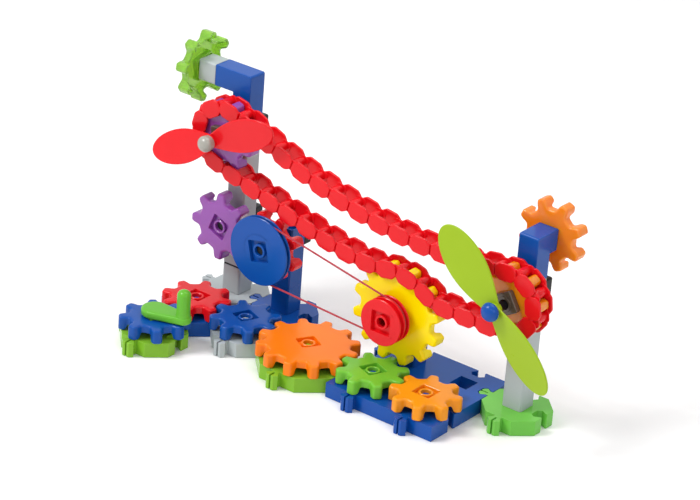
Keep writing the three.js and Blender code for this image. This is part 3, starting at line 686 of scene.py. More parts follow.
@dataclass
class GearSizes:
    """Sizes shared by all gears, in millimetres."""

    small_teeth: int = 8
    large_teeth: int = 12
    height: float = 12.0
    rim_height: float = 7.0
    addendum: float = 3.6
    clearance: float = 0.8
    root_width: float = 10.4
    pitch_width: float = 9.2
    tip_width: float = 6.6
    root_round: float = 3.5
    tip_round: float = 3.2
    edge_round: float = 2.1
    wall: float = 2.4
    lip: float = 0.4
    web: float = 2.6
    middle_radius: float = 15.2
    boss_width: float = 20.4
    boss_foot: float = 3.2
    spacing: float = 1.3
    recess_width: float = 17.0
    chamfer: float = 0.35
    flank_round: float = 6.0
    arch_start: float = 0.6
    arch_length: float = 3.0

    def pitch(self, teeth: int) -> float:
        """Pitch radius of a gear."""
        return GRID / 2 * teeth / self.small_teeth

    def tooth(self, teeth: int, foot: float) -> Loop:
        """Six corners of one tooth that points along +X.

        Args:
            teeth: Teeth of its gear.
            foot: Radius at which the tooth starts.

        Returns:
            The corners, from the lower foot to the upper foot.
        """
        rings = [(foot, self.root_width), (self.pitch(teeth), self.pitch_width),
                 (self.pitch(teeth) + self.addendum, self.tip_width)]
        sides = [(math.sqrt(radius**2 - (width / 2) ** 2), width / 2) for radius, width in rings]
        return [(x, -y) for x, y in sides] + [(x, y) for x, y in reversed(sides)]

    def outline(self, teeth: int) -> Loop:
        """The whole gear's outline.

        Args:
            teeth: Teeth of the gear.

        Returns:
            A loop with rounded tips and roots.
        """
        root = self.pitch(teeth) - self.addendum - self.clearance
        corners: Loop = []
        radii: list[float] = []
        for k in range(teeth):
            corners += turned(self.tooth(teeth, root), 360 * k / teeth)
            side = [self.root_round, self.flank_round, self.tip_round]
            radii += side + side[::-1]
        return rounded(corners, radii)

    def close_outline(self, teeth: int) -> tuple[Loop, int]:
        """The outline in equal shares of closely spaced points.

        Args:
            teeth: Teeth of the gear.

        Returns:
            The loop and the number of points of one tooth.
        """
        loop = self.outline(teeth)
        share = len(loop) // teeth
        first: Loop = []
        for a, b in zip(loop[:share], loop[1 : share + 1]):
            steps = max(1, math.ceil(math.dist(a, b) / self.spacing))
            first += [tuple(Vector(a).lerp(b, i / steps)) for i in range(steps)]
        whole: Loop = []
        for k in range(teeth):
            whole += turned(first, 360 * k / teeth)
        return whole, len(first)


@dataclass
class Gears:
    """All gears of the toy, flat and upright; turns are in degrees."""

    sizes: GearSizes = field(default_factory=GearSizes)
    tree: NodeTree = field(default_factory=ring_tree)
    flat_foot: float = 13.8
    upright_foot: float = 18.0
    lime_top_foot: float = 44.4
    orange_top_foot: float = 19.45
    lime_top_turn: float = 10.0
    orange_top_turn: float = -22.5

    def tooth_skin(self, teeth: int) -> tuple[Mesh, Loop]:
        """One hollow tooth with the rim beside it, which the ring tree repeats.

        Args:
            teeth: Teeth of the gear.

        Returns:
            The tooth's faces, and the circle on which the gear's middle joins them.
        """
        s = self.sizes
        loop, share = s.close_outline(teeth)
        root = s.pitch(teeth) - s.addendum - s.clearance
        start = math.degrees(math.atan2(loop[0][1], loop[0][0]))
        seam = turned(circle(s.middle_radius, len(loop)), start)

        def foot(point: Point) -> float:
            """Height of the rim's lower edge: arched between the teeth, down to the foot on them."""
            out = min(max((math.hypot(*point) - root - s.arch_start) / s.arch_length, 0.0), 1.0)
            return (s.height - s.rim_height) * (1 - out * out * (3 - 2 * out))

        feet = [foot(point) for point in loop]
        rows: list[list[tuple[float, float, float]]] = [lifted(seam, s.height - s.web)]
        rows.append(lifted(inset(loop, s.wall), s.height - s.web))
        for depth, lift in ((s.wall, s.lip), (s.wall - s.lip, 0.0), (s.lip, 0.0), (0.0, s.lip)):
            rows.append([(x, y, low + lift) for (x, y), low in zip(inset(loop, depth), feet)])
        for step in range(5):
            angle = math.pi / 2 * step / 4
            depth, drop = s.edge_round * (1 - math.cos(angle)), s.edge_round * (1 - math.sin(angle))
            rows.append(lifted(inset(loop, depth), s.height - drop))
        rows.append(lifted(seam, s.height))
        return skin([row[: share + 1] for row in rows], around=False), seam

    def middle(self, seam: Loop, hub_foot: float, turn: float) -> Mesh:
        """The gear's middle: the square recess, the ring and bore in it, and the boss below.

        Args:
            seam: The circle on which the teeth join.
            hub_foot: Height at which the ring starts.
            turn: Turn of the square recess, in degrees.

        Returns:
            The middle's faces.
        """
        s = self.sizes
        floor, under, top = s.height - RECESS_DEPTH, s.height - s.web, s.height
        recess, boss, tube = s.recess_width, s.boss_width, s.recess_width + 0.2
        deep = floor - 1.6

        def box(width: float, height: float) -> list[tuple[float, float, float]]:
            """A rounded square row."""
            return lifted(turned(rounded(square(width), RECESS_ROUND), turn), height)

        def ring(radius: float, height: float) -> list[tuple[float, float, float]]:
            """A round row."""
            return lifted(circle(radius), height)

        out, bore, lip, face = RING_RADIUS, BORE_RADIUS, s.lip, top - RING_DROP
        return skin([
            lifted(seam, top), box(recess + 2 * s.chamfer, top), box(recess, top - s.chamfer),
            box(recess, floor), ring(out, floor), ring(out, face - lip), ring(out - lip, face),
            ring(bore + lip, face), ring(bore, face - lip), ring(bore, hub_foot + lip),
            ring(bore + lip, hub_foot), ring(out - lip, hub_foot), ring(out, hub_foot + lip),
            ring(out, deep), box(tube, deep), box(tube, s.boss_foot + lip),
            box(tube + 2 * lip, s.boss_foot), box(boss - 2 * lip, s.boss_foot),
            box(boss, s.boss_foot + lip), box(boss, under), lifted(seam, under),
        ])

    def make(self, node: str, body: str, teeth: int, plastic: Finish, place: Matrix,
             flip: bool = False, hub_foot: float = 0.0) -> None:
        """Makes one gear in its place; the sides of its recess face the gaps between teeth.

        Args:
            node: The CAD node that it stands for.
            body: The body that it rides on.
            teeth: Number of teeth.
            plastic: Its finish.
            place: Where its foot goes.
            flip: True where the recess points backwards along the axis.
            hub_foot: Height at which the ring in its middle starts.
        """
        tooth, seam = self.tooth_skin(teeth)
        pattern = placed("tooth", tooth)
        ring = grown(self.tree, bpy.data.meshes.new("empty"), {
            "Tooth": pattern, "Teeth": teeth, "Plastic": plastic.value.material()})
        bpy.data.objects.remove(pattern)
        middle = self.middle(seam, hub_foot, -180 / teeth)
        mesh = merge([(ring, STILL), (middle, STILL)], "gear", weld=True)
        if flip:
            mesh.transform(Matrix.Translation((0, 0, self.sizes.height)) @ Matrix.Rotation(math.pi, 4, "X"))
        mesh.transform(place)
        finish_piece(mesh, plastic, body, node)

    def meshed_turn(self, last_turn: float, last_teeth: int, towards: float, teeth: int) -> float:
        """The turn that puts a gear's teeth in the gaps of the last gear, in degrees."""
        share = (towards - last_turn) * last_teeth / 360
        return towards + 180 - (0.5 - share) * 360 / teeth

    def build(self, sprocket_turns: dict[str, float]) -> None:
        """Makes every gear.

        Args:
            sprocket_turns: Turns of the left and right sprockets, from the chain.
        """
        small, large = self.sizes.small_teeth, self.sizes.large_teeth
        left, right = sprocket_turns["left"], sprocket_turns["right"]
        # Node, body, teeth, finish, axis and how many teeth further the recess stands
        row = [
            ("crank_gear", "crank_body", small, Finish.BLUE, Spot(-4, -1.5, 0), 0),
            ("red_gear", "red_gear_body", small, Finish.RED, Spot(-4, -0.5, 0), 1),
            ("blue_gear", "blue_gear_body", small, Finish.BLUE, Spot(-3, -0.5, 0), 0),
            ("large_orange_gear", "large_gear_body", large, Finish.ORANGE, Spot(-1.75, -0.5, 0), 2),
            ("green_gear", "green_gear_body", small, Finish.GREEN, Spot(-0.5, -0.5, 0), 0),
            ("small_orange_gear", "small_orange_body", small, Finish.ORANGE_LIGHT, Spot(0.5, -0.5, 0), 1),
        ]
        turns: dict[str, float] = {}
        turn = 0.0
        last_spot, last_teeth = row[0][4], small
        for node, body, teeth, plastic, spot, further in row:
            if turns:
                towards = math.degrees(math.atan2(spot.row - last_spot.row, spot.column - last_spot.column))
                turn = self.meshed_turn(turn, last_teeth, towards, teeth)
            turns[node] = turn
            last_spot, last_teeth = spot, teeth
            self.make(node, body, teeth, plastic, spot.place(self.flat_foot, turn + 360 * further / teeth))
        share = (90 - turns["green_gear"]) * small / 360
        yellow_turn = -90 + (share - math.floor(share) - 0.5) * 360 / large
        hidden_turn = self.meshed_turn(0, small, 0, small)
        upright = [
            ("purple_gear", "purple_body", small, Finish.PURPLE, PURPLE_AXIS, 0),
            ("hidden_red_gear", "pulley_body", small, Finish.RED, PULLEY_AXIS, hidden_turn),
            ("yellow_gear", "yellow_body", large, Finish.YELLOW, YELLOW_AXIS, yellow_turn),
            ("left_sprocket", "left_sprocket_body", small, Finish.PURPLE, LEFT_AXIS, left),
            ("right_sprocket", "right_sprocket_body", small, Finish.ORANGE_CLEAR, RIGHT_AXIS, right),
        ]
        for node, body, teeth, plastic, spot, angle in upright:
            self.make(node, body, teeth, plastic, spot.place(self.upright_foot, angle))
        lime = Spot(-4, 0.5, 206.5, Facing.LEFT).place(self.lime_top_foot, self.lime_top_turn)
        self.make("lime_top_gear", "lime_top_body", small, Finish.LIME_CLEAR, lime, hub_foot=3.0)
        orange = Spot(1.5, 0.5, 158.9, Facing.BACK).place(self.orange_top_foot, self.orange_top_turn)
        self.make("orange_top_gear", "orange_top_body", small, Finish.ORANGE_CLEAR, orange, flip=True)


# Chain


@dataclass(frozen=True)
class Wheel:
    """A wheel that the chain runs over."""

    spot: Spot
    radius: float
    way: int  # 1 where the chain runs counter-clockwise round it, seen from the front, and -1 if not

    def point(self, angle: float) -> Vector:
        """A point on the wheel.

        Args:
            angle: Its angle, in degrees.

        Returns:
            The point in the chain's plane, in millimetres.
        """
        a = math.radians(angle)
        x, z = self.spot.column * GRID, self.spot.height
        return Vector((x + self.radius * math.cos(a), z + self.radius * math.sin(a), 0))

    def heading(self, angle: float) -> Vector:
        """The chain's direction at an angle in degrees."""
        a = math.radians(angle)
        return Vector((-math.sin(a), math.cos(a), 0)) * self.way

    def arc(self, first: float, last: float) -> list[Vector]:
        """Points on the wheel between two angles, without the last."""
        return [self.point(first + (last - first) * i / PATH_STEPS) for i in range(PATH_STEPS)]


@dataclass
class LinkChain:
    """The chain: a closed path of equal links round two sprockets and over the yellow gear.

    Angles at which it meets and leaves the wheels are in degrees; each slack is the share of a
    stretch over which it keeps the direction that it has on the wheel.
    """

    link_count: int = 37
    start: float = 90.0
    yellow_leave: float = 46.5
    yellow_slack: Point = (0.17, 0.59)
    right_meet: float = 268.0
    right_leave: float = 102.5
    right_slack: Point = (0.27, 0.4)
    left_meet: float = 64.0
    left_leave: float = 257.0
    left_slack: Point = (0.36, 0.2)
    yellow_meet: float = 106.0
    plate: float = 2.3
    plate_out: float = 9.3
    plate_half: float = 7.5
    corner: float = 5.0
    corner_round: float = 4.0
    end_half: float = 4.0
    end_gap: float = 0.5
    end_round: float = 2.6
    tongue: float = 1.3
    tongue_out: float = 7.7
    tongue_half: float = 4.9
    barrel_radius: float = 3.7
    knuckle_radius: float = 4.2
    knuckle_half: float = 3.1
    plane: float = 3.0
    engaged: float = 35.1

    def run(self, start: Wheel, first: float, end: Wheel, last: float, slack: Point) -> list[Vector]:
        """A hanging stretch, tangent to both wheels, without its last point.

        Args:
            start: The wheel that it leaves.
            first: Angle at which it leaves it.
            end: The wheel that it meets.
            last: Angle at which it meets it.
            slack: Shares of the stretch that keep each wheel's direction.

        Returns:
            Points in the chain's plane.
        """
        a, b = start.point(first), end.point(last)
        reach = (b - a).length
        from_a = a + start.heading(first) * reach * slack[0]
        to_b = b - end.heading(last) * reach * slack[1]
        return interpolate_bezier(a, from_a, to_b, b, PATH_STEPS + 1)[:-1]

    def joints(self) -> list[Vector]:
        """Walks round the chain's path in equal steps.

        Returns:
            Where the links are hinged, in millimetres in the chain's plane.
        """
        sizes = GearSizes()
        small, large = sizes.pitch(sizes.small_teeth), sizes.pitch(sizes.large_teeth)
        left, right = Wheel(LEFT_AXIS, small, 1), Wheel(RIGHT_AXIS, small, 1)
        yellow = Wheel(YELLOW_AXIS, large, -1)
        path = (
            yellow.arc(self.start, self.yellow_leave)
            + self.run(yellow, self.yellow_leave, right, self.right_meet, self.yellow_slack)
            + right.arc(self.right_meet, self.right_leave + 360)
            + self.run(right, self.right_leave, left, self.left_meet, self.right_slack)
            + left.arc(self.left_meet, self.left_leave)
            + self.run(left, self.left_leave, yellow, self.yellow_meet, self.left_slack)
            + yellow.arc(self.yellow_meet, self.start)
        )
        steps = [(b - a).length for a, b in zip(path, path[1:] + path[:1])]
        spacing = sum(steps) / self.link_count
        found, travelled, wanted = [], 0.0, 0.0
        for a, b, step in zip(path, path[1:] + path[:1], steps):
            while len(found) < self.link_count and travelled + step > wanted:
                found.append(a.lerp(b, (wanted - travelled) / step))
                wanted += spacing
            travelled += step
        return found

    def link(self, length: float) -> Mesh:
        """One link along +X in the chain's plane, in metres, with the front towards -Y.

        Args:
            length: Distance between its two hinges, in millimetres.

        Returns:
            Two thick side plates, the tongues that join them to the next link, and a barrel with its
            knuckle.
        """
        half, narrow, start, corner = self.plate_half, self.end_half, self.end_gap, self.corner
        end, far, tongue = length - start, length - corner, self.tongue_half
        radii = [self.end_round, self.corner_round, self.corner_round, self.end_round] * 2
        plate = rounded([(start, -narrow), (corner, -half), (far, -half), (end, -narrow), (end, narrow),
                         (far, half), (corner, half), (start, narrow)], radii, 4)
        ear = rounded([(-6, -tongue), (6, -tongue), (6, tongue), (-6, tongue)], 3.5, 4)
        pieces = []
        for side in (-1, 1):
            for shape, out, thick, edge in (
                    (plate, self.plate_out, self.plate, 0.7), (ear, self.tongue_out, self.tongue, 0.3)):
                low, high = sorted((side * (out - thick), side * out))
                pieces.append(slab([shape], low, high, edge))
        r, k, reach = self.barrel_radius, self.knuckle_radius, self.tongue_out - 0.7
        middle = self.knuckle_half
        upper = [(k, middle - 0.4), (k - 0.3, middle), (r, middle + 0.4), (r, reach), (0, reach)]
        pieces.append(lathe([(radius, -height) for radius, height in reversed(upper)] + upper, 20))
        turn = Matrix.Rotation(math.radians(90), 4, "X") @ Matrix.Scale(MM, 4)
        return merge([(mesh, turn) for mesh in pieces], "link")

    def build(self) -> dict[str, float]:
        """Makes the chain.

        Returns:
            The turns of the left and right sprockets that fit it.
        """
        joints = self.joints()
        nexts = joints[1:] + joints[:1]
        base = bpy.data.meshes.new("joints")
        base.from_pydata([(a.x * MM, self.plane * MM, a.y * MM) for a in joints], [], [])
        turns = base.attributes.new("turn", "FLOAT_VECTOR", "POINT")
        for value, a, b in zip(turns.data, joints, nexts):
            value.vector = (0, -math.atan2(b.y - a.y, b.x - a.x), 0)
        length = sum((b - a).length for a, b in zip(joints, nexts)) / len(joints)
        shape = placed("link", self.link(length))
        chain = grown(chain_tree(), base, {"Link": shape, "Plastic": Finish.RED.value.material()})
        bpy.data.objects.remove(shape)
        finish_piece(chain, Finish.RED, STAND, "chain_over_yellow", "chain_lower_right_run",
                     "chain_right_wrap", "chain_upper_run", "chain_left_wrap", "chain_lower_left_run",
                     name="link_chain")
        found = {}
        for side, axis in (("left", LEFT_AXIS), ("right", RIGHT_AXIS)):
            x, z = axis.column * GRID, axis.height
            near = [j for j in joints if math.hypot(j.x - x, j.y - z) < self.engaged]
            joint = near[len(near) // 2]
            found[side] = math.degrees(math.atan2(joint.y - z, joint.x - x)) + SQUARE_TURN
        return found


# Plates and towers


@dataclass
class Stand:
    """The plates and towers, whose CAD shapes are right and get rounded edges."""

    plate_edge: float = 0.4
    tower_edge: float = 0.75

    def build(self) -> None:
        """Makes every fixed piece but the chain and the band."""
        plates = {
            Finish.LIME: ("crank_gear_base", "large_gear_base"),
            Finish.PALE_GREEN: ("right_tower_base",),
            Finish.BLUE: ("red_gear_base", "pulley_pillar_base", "square_plate"),
            Finish.GREY: ("blue_gear_base", "left_tower_base"),
        }
        towers = {
            Finish.BLUE: ("left_elbow", "right_elbow", "pulley_pillar_block", "pulley_pillar_hub",
                           "yellow_pillar", "yellow_hub"),
            Finish.GREY: ("left_block", "left_lower_pillar", "left_lower_hub", "left_upper_pillar",
                           "left_upper_hub", "right_block", "right_pillar", "right_hub", "left_adapter"),
            Finish.BLACK: ("left_collar", "right_collar"),
        }
        for edge, kinds in ((self.plate_edge, plates), (self.tower_edge, towers)):
            for plastic, nodes in kinds.items():
                for node in nodes:
                    finish_piece(bevelled_copy(node, edge), plastic, STAND, node)


# Pulleys, band, crank and propellers


@dataclass
class BandDrive:
    """The two pulleys and the elastic band between them."""

    plane: float = 39.6
    wall: float = 1.6
    blue_radius: float = 30.4
    blue_band: float = 27.0
    red_radius: float = 20.2
    red_band: float = 18.0
    thickness: float = 1.6
    band_half: float = 0.65
    recess: float = 19.2
    blue_turn: float = 14.0
    blue_plug: float = 45.0
    red_turn: float = 1.0
    red_plug: float = 60.0
    soft: float = 0.45
    inner: float = 15.0
    neck: float = 8.6

    def pulley(self, radius: float, band: float, groove: float, grooves: int,
               plug_turn: float) -> Mesh:
        """A grooved wheel about +Z with the band's groove at height 0.

        Args:
            radius: Outer radius.
            band: Radius of the band's middle.
            groove: Width of a groove.
            grooves: Number of grooves.
            plug_turn: Turn of the plug behind, from the recess in the face, in degrees.

        Returns:
            The wheel, with a square recess and ring in its face.
        """
        back = -groove / 2 - self.wall
        floor = band - self.thickness / 2 - 0.3
        soft, inner, bore = self.soft, self.inner, circle(BORE_RADIUS)
        profile = [(inner, back), (radius - soft, back), (radius, back + soft)]
        for i in range(grooves):
            middle = i * (groove + self.wall)
            low, high = middle - groove / 2, middle + groove / 2
            profile += [(radius, low - soft), (radius - soft, low), (floor, low), (floor, high),
                        (radius - soft, high), (radius, high + soft)]
        face = profile[-1][1] - soft + self.wall
        profile += [(radius, face - soft), (radius - soft, face), (inner, face)]
        wheel = lathe(profile, 72)
        recess = rounded(square(self.recess), RECESS_ROUND)
        core = slab([circle(inner + 0.4), recess], face - RECESS_DEPTH - 1, face, 0.0001)
        floor_disc = slab([circle(inner + 0.3), bore], back, face - RECESS_DEPTH, 0.05)
        ring = slab([circle(RING_RADIUS), bore], back, face - RING_DROP, 0.4)
        gear_face = GEAR_FACE - self.plane
        neck = slab([circle(self.neck), bore], gear_face + 0.3, back + 1, 0.2)
        outline = turned(rounded(square(PLUG_WIDTH), PLUG_ROUND), plug_turn)
        plug = slab([outline, circle(PLUG_HOLE)], gear_face - PLUG_DEPTH, gear_face + 0.8, 0.2)
        return merge([(mesh, STILL) for mesh in (wheel, core, floor_disc, ring, neck, plug)], "pulley")

    def band(self) -> Mesh:
        """The band round both grooves.

        Returns:
            A rounded strip, in millimetres about the blue pulley's axis.
        """
        dx = (YELLOW_AXIS.column - PULLEY_AXIS.column) * GRID
        dz = YELLOW_AXIS.height - PULLEY_AXIS.height
        tilt = math.atan2(dz, dx)
        wrap = math.acos((self.blue_band - self.red_band) / math.hypot(dx, dz))

        def outline(extra: float) -> Loop:
            """The band's line.

            Args:
                extra: How far it is moved outwards.

            Returns:
                A closed loop.
            """
            points: Loop = []
            for x, z, radius, first, last in (
                (0, 0, self.blue_band + extra, tilt + wrap, tilt + math.tau - wrap),
                (dx, dz, self.red_band + extra, tilt - wrap, tilt + wrap),
            ):
                for i in range(41):
                    angle = first + (last - first) * i / 40
                    points.append((x + radius * math.cos(angle), z + radius * math.sin(angle)))
            return points

        half = self.band_half
        return slab([outline(half), outline(-half)], self.plane - half, self.plane + half, 0.3)

    def build(self) -> None:
        """Makes the pulleys and the band."""
        blue = self.pulley(self.blue_radius, self.blue_band, 2.8, 1, self.blue_plug - self.blue_turn)
        blue.transform(PULLEY_AXIS.place(self.plane, self.blue_turn))
        finish_piece(blue, Finish.BLUE, "pulley_body", "blue_pulley")
        red = self.pulley(self.red_radius, self.red_band, 4.2, 2, self.red_plug - self.red_turn)
        red.transform(YELLOW_AXIS.place(self.plane, self.red_turn))
        finish_piece(red, Finish.RED, "yellow_body", "red_pulley")
        band = self.band()
        band.transform(PULLEY_AXIS.place())
        finish_piece(band, Finish.BAND, STAND, "elastic_band")


@dataclass
class Axles:
    """Black axles with square caps behind the towers."""

    radius: float = 3.6
    face: float = 9.4
    gap: float = 0.6
    cap_depth: float = 9.0
    cap_width: float = 17.0
    shoulder_end: float = 18.0

    def make(self, node: str, body: str, spot: Spot, end: float) -> None:
        """Makes one axle.

        Args:
            node: The CAD node that it stands for.
            body: The body that it rides on.
            spot: Its axis.
            end: Where the shaft ends in front, in millimetres from the tower's axis.
        """
        back = -self.face - self.gap
        cap = slab([rounded(square(self.cap_width), 1.6)], back - self.cap_depth, back, 0.8)
        shaft = slab([circle(self.radius, 32)], back - 1, end, 0.3)
        shoulder = slab([circle(RING_RADIUS, 40)], self.face + self.gap, self.shoulder_end, 0.3)
        mesh = merge([(m, spot.place()) for m in (cap, shaft, shoulder)], "axle")
        finish_piece(mesh, Finish.BLACK, body, node)

    def build(self) -> None:
        """Makes the five axles."""
        for name, body, axis, end in (
            ("purple", "purple_body", PURPLE_AXIS, 26.6), ("pulley", "pulley_body", PULLEY_AXIS, 39.6),
            ("yellow", "yellow_body", YELLOW_AXIS, 39.6),
            ("left_sprocket", "left_sprocket_body", LEFT_AXIS, 48.6),
            ("right_sprocket", "right_sprocket_body", RIGHT_AXIS, 52.9),
        ):
            self.make(f"{name}_axle", body, axis, end)


@dataclass
class Crank:
    """The green crank on the blue gear."""

    throw: float = 27.0
    top: float = 25.8
    turn: float = 10.0
    arm_height: float = 7.4
    hub_radius: float = 12.0
    end_radius: float = 7.2
    knob_radius: float = 5.9

    def build(self) -> None:
        """Makes the arm, the knob and the plug."""
        spot = Spot(-4, -1.5, self.top)
        arc = [math.pi / 2 + math.pi * i / 16 for i in range(17)]
        hub, end, knob_radius = self.hub_radius, self.end_radius, self.knob_radius
        loop = [(hub * math.cos(a), hub * math.sin(a)) for a in arc]
        loop += [(self.throw + end * math.cos(a + math.pi), end * math.sin(a + math.pi)) for a in arc]
        arm = slab([loop], 0.6, self.arm_height, 2.2)
        knob = lathe([(0, 6.0), (end - 1.0, 6.0), (end - 0.7, 7.3), (end - 1.1, 8.4), (knob_radius, 9.8),
                      (knob_radius - 0.1, 18.0), *dome(knob_radius, 26.2, 4.9, 8)], 40)
        knob.transform(Matrix.Translation((self.throw, 0, 0)))
        plug = slab([rounded(square(PLUG_WIDTH), PLUG_ROUND)], -PLUG_DEPTH, 1.6, 0.3)
        mesh = merge([(arm, spot.place(0, self.turn)), (knob, spot.place(0, self.turn)),
                      (plug, spot.place(0, -SQUARE_TURN))], "crank")
        finish_piece(mesh, Finish.CRANK, "crank_body", "crank_handle")


@dataclass(frozen=True)
class Blade:
    """One propeller's measures, in millimetres and degrees."""

    node: str
    length: float
    width: float
    widest: float
    turn: float
    offset: float
    nose_radius: float
    nose_shoulder: float


@dataclass
class Propellers:
    """Both propellers with their noses and square adapters."""

    thickness: float = 2.0
    pitch: float = 10.5
    root_half: float = 5.8
    hub_radius: float = 6.0
    hub_half: float = 3.5
    nose_share: float = 0.85
    block_width: float = 18.8
    block_depth: float = 5.4

    def outline(self, blade: Blade) -> Loop:
        """One blade along +X, narrow at the hub and round at the tip.

        Args:
            blade: Its measures.

        Returns:
            A closed loop.
        """
        upper: Loop = []
        for i in range(16):
            swell = math.sin(math.pi / 2 * i / 16)
            upper.append((blade.widest * blade.length * i / 16,
                          self.root_half + (blade.width / 2 - self.root_half) * swell))
        for i in range(20):
            angle = math.pi / 2 * i / 20
            share = blade.widest + (1 - blade.widest) * math.sin(angle)
            upper.append((share * blade.length, blade.width / 2 * math.cos(angle)))
        upper.append((blade.length, 0.0))
        return upper + [(x, -y) for x, y in reversed(upper[:-1])]

    def make(self, side: str, blade: Blade, plastic: Finish, nose: Finish, spot: Spot,
             turn: float) -> None:
        """Makes one propeller, its nose and its adapter.

        Args:
            side: The tower that carries it, left or right.
            blade: Its measures.
            plastic: The blades' finish.
            nose: The nose's finish.
            spot: Its axis.
            turn: The sprocket's turn, in degrees.
        """
        body = f"{side}_sprocket_body"
        lean = Matrix.Rotation(math.radians(self.pitch), 4, "X")
        half = slab([self.outline(blade)], -self.thickness / 2, self.thickness / 2, 0.8)
        other = Matrix.Rotation(math.pi, 4, "Z")
        bore = circle(BORE_RADIUS, 32)
        hub = slab([circle(self.hub_radius, 40), bore], -self.hub_half, self.hub_half, 0.6)
        place = spot.place(blade.offset, blade.turn)
        mesh = merge([(half, place @ lean), (half, place @ other @ lean), (hub, place)], "propeller")
        finish_piece(mesh, plastic, body, blade.node)
        radius = blade.nose_radius
        tip = lathe([(0, 0), (radius - 1.6, 0), (radius - 0.5, 0.5),
                     *dome(radius, blade.nose_shoulder, self.nose_share * radius, 14)])
        tip.transform(spot.place(blade.offset + self.hub_half))
        finish_piece(tip, nose, body, f"{side}_nose")
        front = GEAR_FACE + self.block_depth
        block = slab([rounded(square(self.block_width), 2.2), bore], GEAR_FACE, front, 0.9)
        collar = slab([circle(RING_RADIUS + 0.4, 40), bore], front - 0.6, front + 1, 0.3)
        plug = slab([rounded(square(PLUG_WIDTH), PLUG_ROUND), circle(PLUG_HOLE, 32)],
                    GEAR_FACE - PLUG_DEPTH, GEAR_FACE + 0.6, 0.2)
        square_on = spot.place(0, turn - SQUARE_TURN)
        adapter = merge([(part, square_on) for part in (block, collar, plug)], "adapter")
        finish_piece(adapter, Finish.SMOKE, body, f"{side}_hub_adapter")

    def build(self, turns: dict[str, float]) -> None:
        """Makes both propellers.

        Args:
            turns: Turns of the left and right sprockets, from the chain.
        """
        red = Blade("red_propeller", 69.4, 30, 0.53, 24.6, 45.4, 7, 4.7)
        lime = Blade("lime_propeller", 77.6, 33.8, 0.56, 135.2, 49.7, 8, 1.5)
        self.make("left", red, Finish.RED, Finish.SILVER, LEFT_AXIS, turns["left"])
        self.make("right", lime, Finish.LIME_BLADE, Finish.BLUE, RIGHT_AXIS, turns["right"])


# Studio


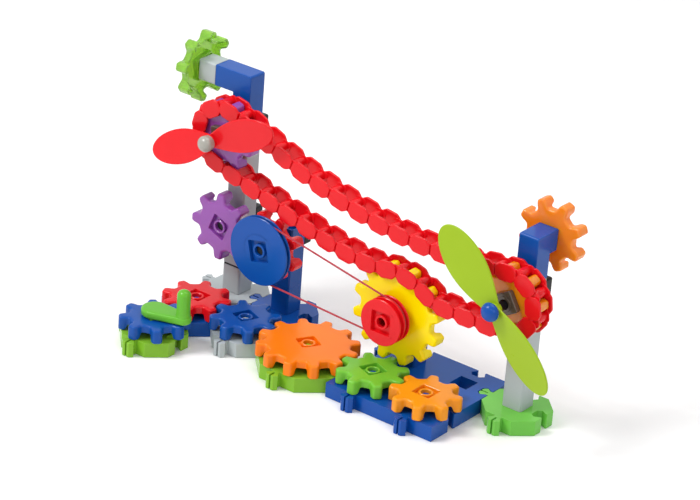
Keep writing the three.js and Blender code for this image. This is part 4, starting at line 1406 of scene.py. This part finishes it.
@dataclass
class Studio:
    """Pale floor, soft lights and the photograph's camera."""

    place: tuple[float, float, float] = (1.20196, -1.77341, 1.13769)
    azimuth: float = 35.8393
    elevation: float = 25.238
    roll: float = 4.4523
    lens: float = 151.434
    floor_height: float = -0.0002
    aim: tuple[float, float, float] = (-0.08, 0.0, 0.09)

    def camera(self) -> None:
        """Stands the camera where the photograph was taken from."""
        a, e, r = (math.radians(v) for v in (self.azimuth, self.elevation, self.roll))
        look = Vector((-math.sin(a) * math.cos(e), math.cos(a) * math.cos(e), -math.sin(e)))
        right = Vector((math.cos(a), math.sin(a), 0))
        up = right.cross(look)
        tilted = right * math.cos(r) + up * math.sin(r)
        above = up * math.cos(r) - right * math.sin(r)
        data = bpy.data.cameras.new("camera")
        data.lens = self.lens
        data.sensor_width = 36
        data.clip_start, data.clip_end = 0.05, 50
        camera = placed("camera", data)
        turn = Matrix((tilted, above, -look)).transposed().to_4x4()
        camera.matrix_world = Matrix.Translation(self.place) @ turn
        bpy.context.scene.camera = camera

    def world(self) -> None:
        """Soft white light from all round, with plain white for rays that look at the background."""
        world = bpy.data.worlds.new("studio")
        world.use_nodes = True
        tree = world.node_tree
        tree.nodes.clear()
        path = add_node(tree, "ShaderNodeLightPath")
        seen = maths(tree, "MAXIMUM", path.outputs["Is Camera Ray"], path.outputs["Is Glossy Ray"])
        seen = maths(tree, "MAXIMUM", seen, path.outputs["Is Transmission Ray"])
        light, white = (add_node(tree, "ShaderNodeBackground", inputs={
            "Color": (1, 1, 1, 1), "Strength": strength}) for strength in (0.55, 1.0))
        mixed = add_node(tree, "ShaderNodeMixShader", inputs={
            0: seen, 1: light.outputs[0], 2: white.outputs[0]})
        add_node(tree, "ShaderNodeOutputWorld", inputs={"Surface": mixed.outputs[0]})
        bpy.context.scene.world = world

    def floor(self) -> None:
        """A wide pale floor that keeps the toy's shadow."""
        mesh = bpy.data.meshes.new("floor")
        mesh.from_pydata([(-6, -6, 0), (6, -6, 0), (6, 6, 0), (-6, 6, 0)], [], [(0, 1, 2, 3)])
        mesh.transform(Matrix.Translation((0, 0, self.floor_height)))
        material = bpy.data.materials.new("white paper sweep, matt")
        material.use_nodes = True
        shader = material.node_tree.nodes["Principled BSDF"]
        shader.inputs["Base Color"].default_value = linear("#FDFDFD")
        shader.inputs["Roughness"].default_value = 0.5
        mesh.materials.append(material)
        placed("floor", mesh)

    def lamp(self, name: str, place: tuple[float, float, float], size: float, power: float) -> None:
        """Adds one square soft box that faces the toy.

        Args:
            name: Name of the lamp.
            place: Where it stands, in metres.
            size: Width, in metres.
            power: Power, in watts.
        """
        data = bpy.data.lights.new(name, "AREA")
        data.shape = "SQUARE"
        data.size = size
        data.energy = power
        aim = Vector(self.aim) - Vector(place)
        turn = aim.to_track_quat("-Z", "Y").to_matrix().to_4x4()
        placed(name, data).matrix_world = Matrix.Translation(place) @ turn

    def build(self) -> None:
        """Makes the whole studio."""
        self.camera()
        self.world()
        self.floor()
        self.lamp("key", (-0.9, -1.1, 1.7), 0.8, 25)
        self.lamp("fill", (1.9, -0.8, 1.2), 1.0, 5.5)
        self.lamp("top", (0.1, 0.5, 2.1), 1.2, 12)
        self.lamp("left spark", (-0.85, -0.85, 1.35), 0.05, 2.2)
        self.lamp("right spark", (0.9, -1.6, 1.6), 0.12, 1.2)
        self.lamp("back spark", (0.6, 1.3, 1.5), 0.14, 1.6)
        bpy.context.scene.view_settings.view_transform = "Standard"


def main() -> None:
    """Builds the studio and dresses every piece."""
    logging.basicConfig(level=logging.INFO, format="%(name)s: %(message)s")
    Studio().build()
    Stand().build()
    BandDrive().build()
    Axles().build()
    Crank().build()
    turns = LinkChain().build()
    Gears().build(turns)
    Propellers().build(turns)


if __name__ == "__main__":
    main()
